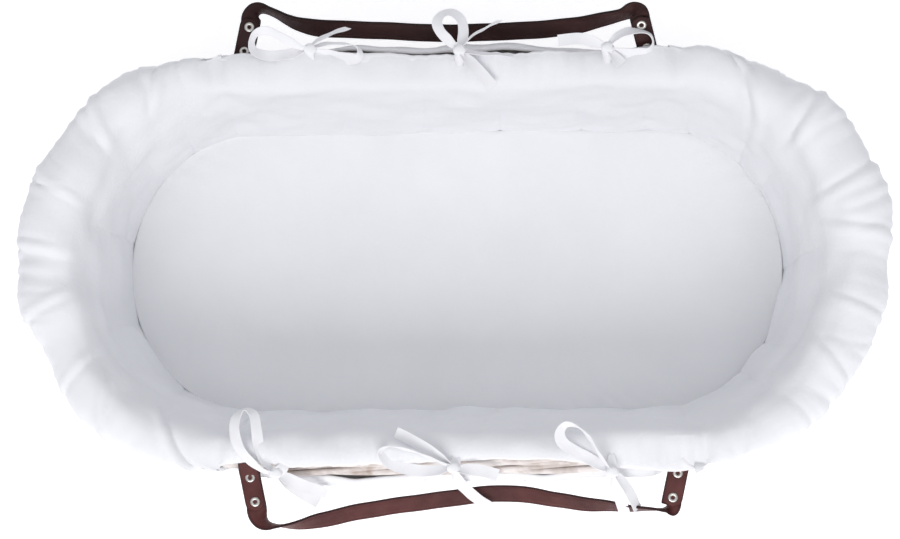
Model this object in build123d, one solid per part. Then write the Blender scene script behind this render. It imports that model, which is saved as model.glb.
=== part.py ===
"""A woven willow Moses basket with a tied cotton liner, a mattress and two leather handles.

The frame: +X along the basket, +Z up, the origin under the middle of the base. The near long
side faces -Y and the far one +Y. Every size is in millimetres.
"""
import os
from math import acos, atan2, cos, hypot, pi, radians, sin

from build123d import *

# Plan of the basket: straight long sides between x = -STRAIGHT and +STRAIGHT, elliptical ends.
STRAIGHT = 215.0
BASE_HALF_LENGTH = 370.0
BASE_HALF_WIDTH = 171.0
RIM_HALF_LENGTH = 404.0
RIM_HALF_WIDTH = 196.0

# Height of the border's centre line, at the long sides and at the ends.
RIM_SIDE = 219.0
RIM_END = 247.0
BORDER_RADIUS = 7.5
FOOT_HEIGHT = 14.0
FOOT_WIDTH = 10.0
BASE_LIFT = 3.0
BASE_THICKNESS = 6.0
BASE_STICK_RADIUS = 3.0
BASE_STICK_PITCH = 62.0
BASE_STICKS = 11

# The side wall: upright stakes with the siding woven round them.
SIDING_THICKNESS = 5.0
WALING_THICKNESS = 8.0
WALING_HEIGHT = 11.0
BORDER_CLEARANCE = 1.4
STAKE_RADIUS = 3.0
STAKES_PER_SIDE = 11
STAKES_PER_END = 13
FIT_GAP = 0.4

# Mattress.
MATTRESS_LENGTH = 700.0
MATTRESS_WIDTH = 302.0
MATTRESS_THICKNESS = 40.0
MATTRESS_BOTTOM = BASE_LIFT + BASE_THICKNESS + 2 * BASE_STICK_RADIUS + 0.1
SHEET_THICKNESS = 1.5
SHEET_TUCK = 45.0
ELASTIC_RADIUS = 1.5

# Liner. Offsets are measured outward from the wall's centre surface.
LINER_BACK = -13.0
LINER_FRONT_LOW = -19.0
LINER_FRONT_HIGH = -26.0
ROLL_UNDERSIDE = 9.4
ROLL_THICKNESS = 6.0
SKIRT_INNER = 13.5
SKIRT_OUTER = 20.5
SKIRT_SPREAD = 4.0
SKIRT_BOTTOM = 112.0
HEM_HEIGHT = 14.0
SLIT_HALF_LENGTH = 235.0
FLAP_EDGE = -14.5
BINDING_WIDTH = 3.0
BINDING_DEPTH = 3.7
PANEL_DROP = 17.0

# Handles.
STRAP_WIDTH = 20.0
STRAP_THICKNESS = 2.8
LAYER_GAP = 0.5
LOOP_RADIUS = 9.0 + STRAP_THICKNESS / 2
TAB_START = 11.0
TAB_END = 50.0
RUN_START = 46.5
RIVET_PLACES = (17.3, 41.5)
RIVET_HEAD_RADIUS = 4.9
RIVET_SHANK_RADIUS = 2.4
RIVET_BORE_RADIUS = 1.7
RIVET_CLENCH_RADIUS = 3.7
WASHER_THICKNESS = 0.7
HOLE_CLEARANCE = 0.05
WINDOW_WIDTH = 28.0
WINDOW_HEIGHT = 16.0
STEPS_PER_SPAN = 3

# Each handle: the side it is on, then for each end of the strap its place along the rim, the
# angle of its tab above level and the tab's lean along x per unit of length, and the route of
# the strap between the tabs. A station holds the strap's upper edge and its lower edge, each
# as x, the distance out from the border and the height over the border.
HANDLES = {
    "near": {
        "side": -1,
        "ends": ((-204.2, 0.0, 0.198), (222.1, -6.0, -0.215)),
        "stations": (
            ((-206.3, 53.1, 0.5), (-187.1, 49.5, -3.7)),
            ((-203.8, 59.3, 1.6), (-186.9, 52.5, -6.7)),
            ((-199.0, 64.0, 2.6), (-186.5, 56.0, -10.8)),
            ((-192.0, 66.8, 2.6), (-185.2, 60.5, -15.1)),
            ((-183.5, 67.0, 1.0), (-181.5, 64.5, -18.7)),
            ((-172.0, 65.0, -3.0), (-170.5, 67.2, -22.8)),
            ((-155.0, 60.5, -10.0), (-152.5, 70.0, -27.4)),
            ((-135.5, 54.0, -17.4), (-133.0, 68.6, -30.8)),
            ((-103.0, 46.5, -25.5), (-101.5, 62.8, -37.0)),
            ((-66.0, 41.2, -31.3), (-65.0, 57.7, -42.6)),
            ((-26.0, 35.8, -36.5), (-25.3, 52.6, -47.3)),
            ((20.0, 30.8, -39.7), (20.5, 47.5, -50.7)),
            ((50.0, 29.3, -39.7), (50.0, 46.1, -50.5)),
            ((78.0, 31.6, -36.3), (76.8, 47.9, -47.8)),
            ((102.0, 36.5, -30.6), (100.0, 51.2, -44.0)),
            ((126.0, 41.0, -23.6), (124.5, 55.0, -37.8)),
            ((149.0, 44.5, -15.0), (148.5, 55.5, -31.7)),
            ((169.0, 48.0, -8.5), (168.6, 55.0, -27.2)),
            ((184.5, 50.5, -4.0), (184.5, 54.0, -23.7)),
            ((197.0, 52.5, -1.5), (196.5, 54.0, -21.5)),
            ((207.3, 54.5, -0.6), (204.5, 53.5, -20.4)),
            ((214.0, 55.8, -1.4), (206.5, 52.3, -19.6)),
            ((219.0, 55.0, -2.4), (206.6, 50.6, -17.4)),
            ((222.6, 52.3, -3.4), (205.8, 48.7, -13.6)),
        ),
    },
    "far": {
        "side": 1,
        "ends": ((-207.6, 10.0, 0.231), (198.4, 32.0, -0.25)),
        "stations": (
            ((-208.4, 52.3, 9.0), (-189.4, 48.2, 4.6)),
            ((-205.4, 57.4, 10.9), (-189.2, 50.2, 1.6)),
            ((-200.2, 61.3, 11.8), (-189.2, 53.0, -2.7)),
            ((-193.0, 62.5, 11.5), (-188.0, 56.0, -6.7)),
            ((-184.5, 61.0, 9.5), (-184.0, 57.0, -10.1)),
            ((-173.5, 57.5, 6.0), (-174.0, 53.0, -13.5)),
            ((-163.0, 54.0, 2.0), (-164.0, 46.8, -16.6)),
            ((-151.5, 51.5, -2.8), (-153.0, 40.7, -19.6)),
            ((-137.0, 50.6, -6.9), (-138.0, 36.0, -20.5)),
            ((-119.0, 50.2, -10.8), (-120.0, 34.7, -23.4)),
            ((-71.0, 48.2, -16.5), (-71.8, 32.8, -29.2)),
            ((-14.6, 46.1, -21.0), (-15.0, 30.1, -33.0)),
            ((14.4, 45.8, -22.2), (14.0, 29.7, -34.0)),
            ((50.6, 46.1, -20.2), (50.4, 30.2, -32.3)),
            ((91.0, 47.0, -14.8), (90.8, 31.1, -27.0)),
            ((126.0, 47.5, -5.0), (124.8, 33.5, -19.2)),
            ((145.0, 48.7, 3.0), (144.0, 37.5, -13.5)),
            ((159.0, 50.0, 9.5), (157.5, 40.5, -8.0)),
            ((171.0, 51.2, 16.0), (168.8, 43.8, -2.4)),
            ((180.0, 52.0, 21.0), (175.5, 45.5, 2.6)),
            ((187.5, 52.4, 25.2), (178.7, 44.8, 8.9)),
            ((193.8, 51.2, 27.6), (179.7, 43.2, 15.9)),
            ((197.6, 47.6, 27.8), (179.7, 42.0, 20.8)),
        ),
    },
}

# Each tie: its side, the place of its knot along the rim, and its loop's and tails' directions
# in degrees, seen from above, with 90 pointing away from the basket's middle.
TIES = {
    "tie_near_left": (-1, -176.0, 242.0, (20.0, 60.0)),
    "tie_near_middle": (-1, -1.0, 195.0, (-15.0, 50.0)),
    "tie_near_right": (-1, 155.0, 222.0, (75.0, 100.0)),
    "tie_far_left": (1, -139.0, 165.0, (40.0, -20.0)),
    "tie_far_middle": (1, 10.0, 100.0, (25.0, -40.0)),
    "tie_far_right": (1, 157.0, 10.0, (165.0, -10.0)),
}
KNOT_SIZE = (10.0, 9.0, 8.0)
KNOT_OUT = 7.0
KNOT_LIFT = 17.0
TIE_WIDTH = 11.0
TIE_THICKNESS = 2.0
TIE_TAIL_LENGTH = 26.0
TIE_LOOP_LENGTH = 22.0
TIE_LOOP_WIDTH = 17.0


def wall_half_length(z):
    """Half the length of the wall's centre surface at height z."""
    return BASE_HALF_LENGTH + (RIM_HALF_LENGTH - BASE_HALF_LENGTH) * z / RIM_END


def wall_half_width(z):
    """Half the width of the wall's centre surface at height z."""
    return BASE_HALF_WIDTH + (RIM_HALF_WIDTH - BASE_HALF_WIDTH) * z / RIM_SIDE


def rim_height(x):
    """Height of the border's centre: level along the sides, rising to the ends."""
    t = (abs(x) - STRAIGHT) / (RIM_HALF_LENGTH - STRAIGHT)
    t = min(max(t, 0.0), 1.0)
    return RIM_SIDE + (RIM_END - RIM_SIDE) * t * t * (3 - 2 * t)


def oval(half_length, half_width, z):
    """A level face with straight long sides and elliptical ends."""
    reach = half_length - STRAIGHT
    right = EllipticalCenterArc((STRAIGHT, 0), reach, half_width, -90, arc_size=180)
    left = EllipticalCenterArc((-STRAIGHT, 0), reach, half_width, 90, arc_size=180)
    far = Line(right @ 1, left @ 0)
    near = Line(left @ 1, right @ 0)
    return Pos(0, 0, z) * make_face([right, far, left, near])


def flared(z_low, z_high, low_offset, high_offset=None):
    """The solid inside the wall's surface moved outward by an offset, between two heights."""
    high_offset = low_offset if high_offset is None else high_offset
    faces = [
        oval(wall_half_length(z) + offset, wall_half_width(z) + offset, z)
        for z, offset in ((z_low, low_offset), (z_high, high_offset))
    ]
    return loft(faces, ruled=True)


def straight_oval(offset, z_size, z_low, z_high):
    """A prism over the oval that the wall has at height z_size, moved outward by an offset."""
    face = oval(wall_half_length(z_size) + offset, wall_half_width(z_size) + offset, z_low)
    return extrude(face, z_high - z_low)


def under_rim(shift):
    """Everything under the border's centre surface moved up by shift."""
    reach = RIM_HALF_LENGTH - STRAIGHT
    edge = RIM_HALF_LENGTH + 60
    low, high = RIM_SIDE + shift, RIM_END + shift
    right = Bezier(
        (STRAIGHT, low), (STRAIGHT + reach / 3, low),
        (STRAIGHT + 2 * reach / 3, high), (RIM_HALF_LENGTH, high),
    )
    left = Bezier(
        (-RIM_HALF_LENGTH, high), (-STRAIGHT - 2 * reach / 3, high),
        (-STRAIGHT - reach / 3, low), (-STRAIGHT, low),
    )
    outline = [
        Line((-edge, -50), (-edge, high)),
        Line((-edge, high), (-RIM_HALF_LENGTH, high)),
        left,
        Line((-STRAIGHT, low), (STRAIGHT, low)),
        right,
        Line((RIM_HALF_LENGTH, high), (edge, high)),
        Line((edge, high), (edge, -50)),
        Line((edge, -50), (-edge, -50)),
    ]
    return extrude(Plane.XZ * make_face(outline), 400, both=True)


def band(shape, low_shift, high_shift):
    """The part of a shape between two surfaces that follow the border."""
    return (shape & under_rim(high_shift)) - under_rim(low_shift)


def side_box(side, y_inner=0.0, half_length=SLIT_HALF_LENGTH):
    """A tall box over one long side, as long as the slit for the handle."""
    depth = 400.0
    return Pos(0, side * (y_inner + depth / 2), 150) * Box(2 * half_length, depth, 500)


def rim_point(angle, end):
    """A point on the border's centre line round one end; angle 0 is the end itself."""
    z = RIM_SIDE
    for _ in range(5):
        reach = wall_half_length(z) - STRAIGHT
        x = STRAIGHT + reach * cos(angle)
        z = rim_height(x)
    return Vector(end * x, end * wall_half_width(z) * sin(angle), z)


# --- Willow -------------------------------------------------------------------------------

def border():
    """The thick edge of the basket: a straight length on each side and a hoop round each end."""
    pieces = []
    for side in (-1, 1):
        start = Plane((-STRAIGHT, side * RIM_HALF_WIDTH, RIM_SIDE), z_dir=(1, 0, 0))
        pieces.append(extrude(start * Circle(BORDER_RADIUS), 2 * STRAIGHT))
    spans = 12
    for end in (-1, 1):
        points = [rim_point(-pi / 2 + pi * k / spans, end) for k in range(spans + 1)]
        path = Spline(points, tangents=[(end, 0, 0), (-end, 0, 0)])
        places = [k / (2 * spans) for k in range(2 * spans + 1)]
        rings = [Plane(path @ t, z_dir=path % t) * Circle(BORDER_RADIUS) for t in places]
        pieces.append(loft(rings, ruled=True))
    return Compound(pieces)


def window_cutters():
    """Boxes through the siding under the border, where the straps pass."""
    cutters = []
    for handle in HANDLES.values():
        for x, *_ in handle["ends"]:
            top = RIM_SIDE - BORDER_RADIUS
            centre = (x, handle["side"] * RIM_HALF_WIDTH, top - WINDOW_HEIGHT / 2 + 3)
            cutters.append(Pos(*centre) * Box(WINDOW_WIDTH, 60, WINDOW_HEIGHT + 6))
    return cutters


def siding():
    """The woven wall between the foot and the top waling."""
    top = -BORDER_RADIUS - BORDER_CLEARANCE - WALING_HEIGHT - FIT_GAP
    shell = flared(FOOT_HEIGHT + FIT_GAP, 270, FIT_GAP + SIDING_THICKNESS)
    shell -= flared(FOOT_HEIGHT, 271, FIT_GAP)
    return cut_windows(shell & under_rim(top))


def top_waling():
    """The thicker band of weaving under the border."""
    shell = flared(150, 270, FIT_GAP + WALING_THICKNESS) - flared(149, 271, FIT_GAP)
    top = -BORDER_RADIUS - BORDER_CLEARANCE
    return cut_windows(band(shell, top - WALING_HEIGHT, top))


def cut_windows(shape):
    for cutter in window_cutters():
        shape -= cutter
    return shape


def foot_ring():
    """The ring of waling that the basket stands on."""
    outer = straight_oval(FIT_GAP + SIDING_THICKNESS, 0, 0, FOOT_HEIGHT)
    inner = straight_oval(FIT_GAP + SIDING_THICKNESS - FOOT_WIDTH, 0, 0, FOOT_HEIGHT)
    return outer - inner


def base_weave():
    """The woven floor of the basket, inside the foot ring."""
    inset = SIDING_THICKNESS - FOOT_WIDTH
    return straight_oval(inset, 0, BASE_LIFT, BASE_LIFT + BASE_THICKNESS)


def base_sticks():
    """The sticks across the base, on which the floor is woven and the mattress lies."""
    z = BASE_LIFT + BASE_THICKNESS + BASE_STICK_RADIUS + 0.05
    sticks = []
    for k in range(BASE_STICKS):
        x = (k - (BASE_STICKS - 1) / 2) * BASE_STICK_PITCH
        over = max(abs(x) - STRAIGHT, 0.0) / (BASE_HALF_LENGTH - STRAIGHT - 8)
        half = (BASE_HALF_WIDTH - 11) * (1 - over**2) ** 0.5 - 3
        plane = Plane((x, -half, z), z_dir=(0, 1, 0))
        sticks.append(extrude(plane * Circle(BASE_STICK_RADIUS), 2 * half))
    return Compound(sticks)


def stake_places():
    """The plan places of the stakes as (side or end, position along it)."""
    for side in (-1, 1):
        for k in range(STAKES_PER_SIDE):
            yield "side", side, (k / (STAKES_PER_SIDE - 1) - 0.5) * 2 * STRAIGHT
    for end in (-1, 1):
        for k in range(1, STAKES_PER_END + 1):
            yield "end", end, -pi / 2 + pi * k / (STAKES_PER_END + 1)


def wall_point(place, z, offset):
    """A point of the wall's surface at a stake's place, moved outward by an offset."""
    kind, sign, along = place
    width = wall_half_width(z) + offset
    if kind == "side":
        return Vector(along, sign * width, z)
    reach = wall_half_length(z) + offset - STRAIGHT
    return Vector(sign * (STRAIGHT + reach * cos(along)), sign * width * sin(along), z)


def side_stakes():
    """The uprights; one that meets a strap's window stops under it."""
    offset = -STAKE_RADIUS - FIT_GAP
    stakes = []
    for place in stake_places():
        foot = wall_point(place, FOOT_HEIGHT + 1.5, offset)
        top_z = rim_height(foot.X) - BORDER_RADIUS - 2.0
        for handle in HANDLES.values():
            for x, *_ in handle["ends"]:
                if place[1] == handle["side"] and abs(foot.X - x) < WINDOW_WIDTH / 2 + 6:
                    top_z = RIM_SIDE - BORDER_RADIUS - WINDOW_HEIGHT - 8
        head = wall_point(place, top_z, offset)
        along = head - foot
        stakes.append(extrude(Plane(foot, z_dir=along) * Circle(STAKE_RADIUS), along.length))
    return Compound(stakes)


# --- Mattress -----------------------------------------------------------------------------

def mattress_outline(inset, z_low, z_high):
    """A prism with the mattress's plan, drawn in by an inset."""
    face = oval(MATTRESS_LENGTH / 2 - inset, MATTRESS_WIDTH / 2 - inset, z_low)
    return extrude(face, z_high - z_low)


def mattress_foam():
    """The foam core."""
    low = MATTRESS_BOTTOM + SHEET_THICKNESS
    high = MATTRESS_BOTTOM + MATTRESS_THICKNESS - SHEET_THICKNESS
    return mattress_outline(SHEET_THICKNESS, low, high)


def mattress_sheet():
    """The fitted sheet: over the top, down the side and tucked under to its elastic."""
    skin = mattress_outline(0, MATTRESS_BOTTOM, MATTRESS_BOTTOM + MATTRESS_THICKNESS)
    skin -= mattress_foam()
    return skin - mattress_outline(SHEET_TUCK, MATTRESS_BOTTOM - 1, MATTRESS_BOTTOM + 5)


def sheet_elastic():
    """The elastic in the sheet's edge, under the mattress."""
    outer = mattress_outline(SHEET_TUCK + 0.2, MATTRESS_BOTTOM, MATTRESS_BOTTOM + 1.3)
    width = 2 * ELASTIC_RADIUS
    inner = mattress_outline(SHEET_TUCK + width, MATTRESS_BOTTOM - 1, MATTRESS_BOTTOM + 3)
    return outer - inner


# --- Liner --------------------------------------------------------------------------------

def liner_wall():
    """The padded wall, from beside the mattress to the level of the border's top."""
    low = MATTRESS_BOTTOM
    outer = flared(low, 270, LINER_BACK)
    inner = flared(low - 1, 271, LINER_FRONT_LOW, LINER_FRONT_HIGH)
    return (outer - inner) & under_rim(ROLL_UNDERSIDE - FIT_GAP)


def roll_ring(inner, outer, low_shift, high_shift):
    """A ring over the border between two offsets and two heights over its centre line."""
    shell = flared(200, 290, outer) - flared(199, 291, inner)
    return band(shell, low_shift, high_shift)


def end_roll(end):
    """The padded roll over the border at one end."""
    top = ROLL_UNDERSIDE + ROLL_THICKNESS
    roll = roll_ring(LINER_FRONT_HIGH, SKIRT_OUTER, ROLL_UNDERSIDE, top)
    return roll & (Pos(end * (SLIT_HALF_LENGTH + 200), 0, 200) * Box(400, 600, 300))


def side_flap(side):
    """The liner's flap over the inside of the border, beside the handle's slit."""
    flap = roll_ring(LINER_FRONT_HIGH, FLAP_EDGE, ROLL_UNDERSIDE + 0.4, ROLL_UNDERSIDE + 4.4)
    return flap & side_box(side, half_length=SLIT_HALF_LENGTH - FIT_GAP)


def flap_binding(side):
    """The tape that binds the flap's edge."""
    inner = FLAP_EDGE + FIT_GAP
    low = ROLL_UNDERSIDE + 0.2
    tape = roll_ring(inner, inner + BINDING_WIDTH, low, low + BINDING_DEPTH)
    return tape & side_box(side, half_length=SLIT_HALF_LENGTH - FIT_GAP)


def skirt_shell():
    """The skirt all round outside the wall, wider towards the hem."""
    outer = flared(SKIRT_BOTTOM, 270, SKIRT_OUTER + SKIRT_SPREAD, SKIRT_OUTER)
    return outer - flared(SKIRT_BOTTOM - 1, 271, SKIRT_INNER)


def end_skirt(end):
    """The skirt round one end, hanging from the roll."""
    skirt = skirt_shell() & under_rim(ROLL_UNDERSIDE - FIT_GAP)
    skirt -= flared(SKIRT_BOTTOM - 1, SKIRT_BOTTOM + HEM_HEIGHT, 40)
    return skirt & (Pos(end * (SLIT_HALF_LENGTH + 200), 0, 200) * Box(400, 600, 300))


def side_panel(side):
    """The skirt's lower panel on a long side, under the slit."""
    panel = skirt_shell() & under_rim(-PANEL_DROP - BINDING_DEPTH - FIT_GAP)
    panel -= flared(SKIRT_BOTTOM - 1, SKIRT_BOTTOM + HEM_HEIGHT, 40)
    return panel & side_box(side, half_length=SLIT_HALF_LENGTH - FIT_GAP)


def panel_binding(side):
    """The tape that binds the side panel's top edge."""
    shell = flared(150, 270, SKIRT_OUTER + 1) - flared(149, 271, SKIRT_INNER - 1)
    tape = band(shell, -PANEL_DROP - BINDING_DEPTH, -PANEL_DROP)
    return tape & side_box(side, half_length=SLIT_HALF_LENGTH - FIT_GAP)


def hem_casing():
    """The hem round the skirt's lower edge, hollow for its elastic."""
    low, high = SKIRT_BOTTOM, SKIRT_BOTTOM + HEM_HEIGHT - FIT_GAP
    outer = SKIRT_OUTER + SKIRT_SPREAD
    casing = flared(low, high, outer) - flared(low - 1, high + 1, SKIRT_INNER)
    hollow = flared(low + 3, high - 3, outer - 1.5) - flared(low + 3, high - 3, SKIRT_INNER + 1.5)
    return casing - hollow


def hem_elastic():
    """The flat elastic inside the hem."""
    low, high = SKIRT_BOTTOM + 4, SKIRT_BOTTOM + HEM_HEIGHT - 4
    return flared(low, high, SKIRT_INNER + 4) - flared(low - 1, high + 1, SKIRT_INNER + 2)


# --- Handles ------------------------------------------------------------------------------

def tab_plane(side, x, tilt):
    """The section plane of a tab: its x axis points out along the tab, its y axis up."""
    out = Vector(0, side * cos(radians(tilt)), sin(radians(tilt)))
    return Plane((x, side * RIM_HALF_WIDTH, RIM_SIDE), x_dir=out, z_dir=(side, 0, 0))


def tab_point(side, lean, along, height):
    """A point on a tab's middle line, in its plane's own coordinates."""
    return (along, height, side * lean * max(0, along - TAB_START))


def tab(side, x, tilt, lean):
    """One end of a strap: round the border and back on itself, with the rivet holes."""
    half = (STRAP_THICKNESS + LAYER_GAP) / 2
    reach = hypot(TAB_START, half)
    turn = acos(LOOP_RADIUS / reach) + atan2(half, TAB_START)
    upper = (LOOP_RADIUS * cos(turn), LOOP_RADIUS * sin(turn))
    lower = (upper[0], -upper[1])
    path = [
        Line((TAB_START, -half), lower),
        ThreePointArc(lower, (-LOOP_RADIUS, 0), upper),
        Line(upper, (TAB_START, half)),
    ]
    plane = tab_plane(side, x, tilt)
    strap = extrude(plane * trace(path, STRAP_THICKNESS), STRAP_WIDTH / 2, both=True)
    strap += tab_layer(plane, side, lean, RUN_START, -half)
    strap += tab_layer(plane, side, lean, TAB_END, half)
    for place in RIVET_PLACES:
        radius = RIVET_SHANK_RADIUS + HOLE_CLEARANCE
        strap -= across_tab(plane, side, lean, place, radius, -8, 8)
    return strap


def tab_layer(plane, side, lean, end, height):
    """One of a tab's two flat layers, leaning along the rim as it goes out."""
    corners = []
    for along, half in ((TAB_START, -1), (end, -1), (end, 1), (TAB_START, 1)):
        along, height, across = tab_point(side, lean, along, height)
        corners.append((along, height, across + half * STRAP_WIDTH / 2))
    outline = Polyline(*[plane.from_local_coords(corner) for corner in corners], close=True)
    return extrude(Face(Wire(outline.edges())), STRAP_THICKNESS / 2, plane.y_dir, both=True)


def across_tab(plane, side, lean, place, radius, low, high):
    """A cylinder through a tab at a place along it, between two heights over its middle."""
    base = plane.from_local_coords(tab_point(side, lean, place, low))
    return extrude(Plane(base, z_dir=plane.y_dir) * Circle(radius), high - low)


def rivets(side, x, tilt, lean):
    """Two hollow rivets: a flange on top, a shank and a clenched end."""
    tab_of = (tab_plane(side, x, tilt), side, lean)
    face = STRAP_THICKNESS + LAYER_GAP / 2 + HOLE_CLEARANCE
    made = []
    for place in RIVET_PLACES:
        rivet = across_tab(*tab_of, place, RIVET_HEAD_RADIUS, face, face + 1.1)
        rivet += across_tab(*tab_of, place, RIVET_SHANK_RADIUS, -face - 1.4, face + 1)
        clench = -face - WASHER_THICKNESS - 2 * HOLE_CLEARANCE
        rivet += across_tab(*tab_of, place, RIVET_CLENCH_RADIUS, clench - 0.9, clench)
        made.append(rivet - across_tab(*tab_of, place, RIVET_BORE_RADIUS, -9, 9))
    return made


def washers(side, x, tilt, lean):
    """The washers between the strap and the rivets' clenched ends."""
    tab_of = (tab_plane(side, x, tilt), side, lean)
    face = STRAP_THICKNESS + LAYER_GAP / 2 + HOLE_CLEARANCE
    made = []
    for place in RIVET_PLACES:
        ring = across_tab(*tab_of, place, RIVET_HEAD_RADIUS, -face - WASHER_THICKNESS, -face)
        hole = across_tab(*tab_of, place, RIVET_SHANK_RADIUS + HOLE_CLEARANCE, -9, 9)
        made.append(ring - hole)
    return made


def smooth(before, start, end, after, t):
    """Catmull-Rom interpolation between start and end."""
    return 0.5 * (
        2 * start
        + (end - before) * t
        + (2 * before - 5 * start + 4 * end - after) * t * t
        + (3 * start - before - 3 * end + after) * t * t * t
    )


def strap_edges(side, ends, stations):
    """The strap's two edges between its tabs, station by station."""
    half = (STRAP_THICKNESS + LAYER_GAP) / 2
    edges = [
        tuple(Vector(x, side * (RIM_HALF_WIDTH + out), RIM_SIDE + up) for x, out, up in station)
        for station in stations
    ]
    for (x, tilt, lean), sign in zip(ends, (1, -1)):
        plane = tab_plane(side, x, tilt)
        across = Vector(sign * STRAP_WIDTH / 2, 0, 0)
        for along in (RUN_START, RUN_START - 6):
            middle = plane.from_local_coords(tab_point(side, lean, along, -half))
            edges.insert(0 if sign > 0 else len(edges), (middle - across, middle + across))
    return edges


def strap_run(side, ends, stations):
    """The strap between its two tabs, turning on itself as it leaves each one."""
    edges = strap_edges(side, ends, stations)
    sections = []
    for i in range(1, len(edges) - 2):
        uppers, lowers = zip(*edges[i - 1:i + 3])
        for k in range(STEPS_PER_SPAN):
            t = k / STEPS_PER_SPAN
            upper, lower = smooth(*uppers, t), smooth(*lowers, t)
            ahead = (smooth(*uppers, t + 0.01) + smooth(*lowers, t + 0.01)) * 0.5
            sections.append(strap_section(upper, lower, ahead))
    (inside, _), (start, end) = edges[:2]
    sections[0] = strap_section(start, end, (start + end) * 0.5 + start - inside)
    (start, end), (inside, _) = edges[-2:]
    sections.append(strap_section(start, end, (start + end) * 0.5 + inside - start))
    return loft(sections, ruled=True)


def strap_section(upper, lower, ahead):
    """The strap's cross-section between its two edges, square to its own direction."""
    centre = (upper + lower) * 0.5
    across = (lower - upper).normalized()
    along = ahead - centre
    along = (along - across * along.dot(across)).normalized()
    return Plane(centre, x_dir=across, z_dir=along) * Rectangle(STRAP_WIDTH, STRAP_THICKNESS)


def strap(side, ends, stations):
    """One handle's strap, from tab to tab."""
    run = strap_run(side, ends, stations)
    return tab(side, *ends[0]) + run + tab(side, *ends[1])


# --- Ties ---------------------------------------------------------------------------------

def tie(side, x, loop_turn, tail_turns):
    """A bow: a knot on the border, one loop and two tails."""
    ring = Ellipse(TIE_LOOP_LENGTH / 2, TIE_LOOP_WIDTH / 2)
    ring -= Ellipse(TIE_LOOP_LENGTH / 2 - 4, TIE_LOOP_WIDTH / 2 - 4)
    loop = Pos(TIE_LOOP_LENGTH / 2, 0, -3) * extrude(ring, 6)
    tail = Pos(TIE_TAIL_LENGTH / 2, 0, 0) * Box(TIE_TAIL_LENGTH, TIE_WIDTH, TIE_THICKNESS)
    bow = Box(*KNOT_SIZE) + Rot(0, 0, side * loop_turn) * loop
    for turn in tail_turns:
        bow += Rot(0, 0, side * turn) * tail
    return Pos(x, side * (RIM_HALF_WIDTH + KNOT_OUT), RIM_SIDE + KNOT_LIFT) * bow


def write(name, shape):
    """Writes one sub-part."""
    export_step(shape if isinstance(shape, Compound) else Compound([shape]), f"parts/{name}.step")


def main():
    os.makedirs("parts", exist_ok=True)
    write("foot_ring", foot_ring())
    write("base_weave", base_weave())
    write("base_sticks", base_sticks())
    write("side_stakes", side_stakes())
    write("siding", siding())
    write("top_waling", top_waling())
    write("border", border())
    write("mattress_foam", mattress_foam())
    write("mattress_sheet", mattress_sheet())
    write("sheet_elastic", sheet_elastic())
    write("liner_wall", liner_wall())
    write("hem_casing", hem_casing())
    write("hem_elastic", hem_elastic())
    for name, end in (("left", -1), ("right", 1)):
        write(f"liner_roll_{name}", end_roll(end))
        write(f"skirt_{name}", end_skirt(end))
    for name, side in (("near", -1), ("far", 1)):
        write(f"liner_flap_{name}", side_flap(side))
        write(f"flap_binding_{name}", flap_binding(side))
        write(f"skirt_panel_{name}", side_panel(side))
        write(f"panel_binding_{name}", panel_binding(side))
    for name, handle in HANDLES.items():
        side, ends = handle["side"], handle["ends"]
        write(f"strap_{name}", strap(side, ends, handle["stations"]))
        write(f"rivets_{name}", Compound([r for end in ends for r in rivets(side, *end)]))
        write(f"washers_{name}", Compound([w for end in ends for w in washers(side, *end)]))
    for name, (side, x, loop_turn, tail_turns) in TIES.items():
        write(name, tie(side, x, loop_turn, tail_turns))


main()
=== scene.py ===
"""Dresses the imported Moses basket: camera, lights, willow weaving, cotton, leather and metal.

All sizes are in metres, in the CAD model's frame: +X along the basket, +Z up, -Y the near side.
"""
import math

import bmesh
import bpy
import numpy as np
from mathutils import Matrix, Vector


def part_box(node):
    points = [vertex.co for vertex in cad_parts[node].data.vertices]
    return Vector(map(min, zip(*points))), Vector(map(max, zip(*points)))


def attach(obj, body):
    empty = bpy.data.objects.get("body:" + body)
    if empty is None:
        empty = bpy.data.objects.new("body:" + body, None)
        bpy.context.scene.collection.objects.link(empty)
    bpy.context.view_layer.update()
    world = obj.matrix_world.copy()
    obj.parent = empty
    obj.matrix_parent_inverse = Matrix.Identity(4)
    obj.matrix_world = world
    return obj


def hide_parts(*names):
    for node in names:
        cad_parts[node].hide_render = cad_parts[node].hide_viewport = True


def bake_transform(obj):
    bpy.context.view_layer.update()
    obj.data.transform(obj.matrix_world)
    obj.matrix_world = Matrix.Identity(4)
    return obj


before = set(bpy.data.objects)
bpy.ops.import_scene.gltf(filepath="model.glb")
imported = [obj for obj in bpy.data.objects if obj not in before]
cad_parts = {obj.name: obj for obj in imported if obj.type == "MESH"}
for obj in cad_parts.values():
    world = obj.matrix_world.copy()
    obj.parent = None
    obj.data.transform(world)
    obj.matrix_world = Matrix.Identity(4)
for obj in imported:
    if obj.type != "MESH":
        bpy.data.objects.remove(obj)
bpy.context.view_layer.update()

MM = 0.001
SHARP_ANGLE = math.radians(60)
UV_TURN = 0.003  # the UV metres that one radian round a rod takes up

# The basket's wall, as the CAD has it: an oval with straight sides, wider and longer upwards.
STRAIGHT = 0.215
BASE_HALF_LENGTH, BASE_HALF_WIDTH = 0.370, 0.171
RIM_HALF_LENGTH, RIM_HALF_WIDTH = 0.404, 0.196
RIM_SIDE, RIM_END = 0.219, 0.247
BORDER_RADIUS = 0.0075
END_ARC = 0.607
ROUND_LENGTH = 4 * STRAIGHT + 2 * END_ARC
FOOT_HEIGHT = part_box("foot_ring")[1].z
STAKES = 48

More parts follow.
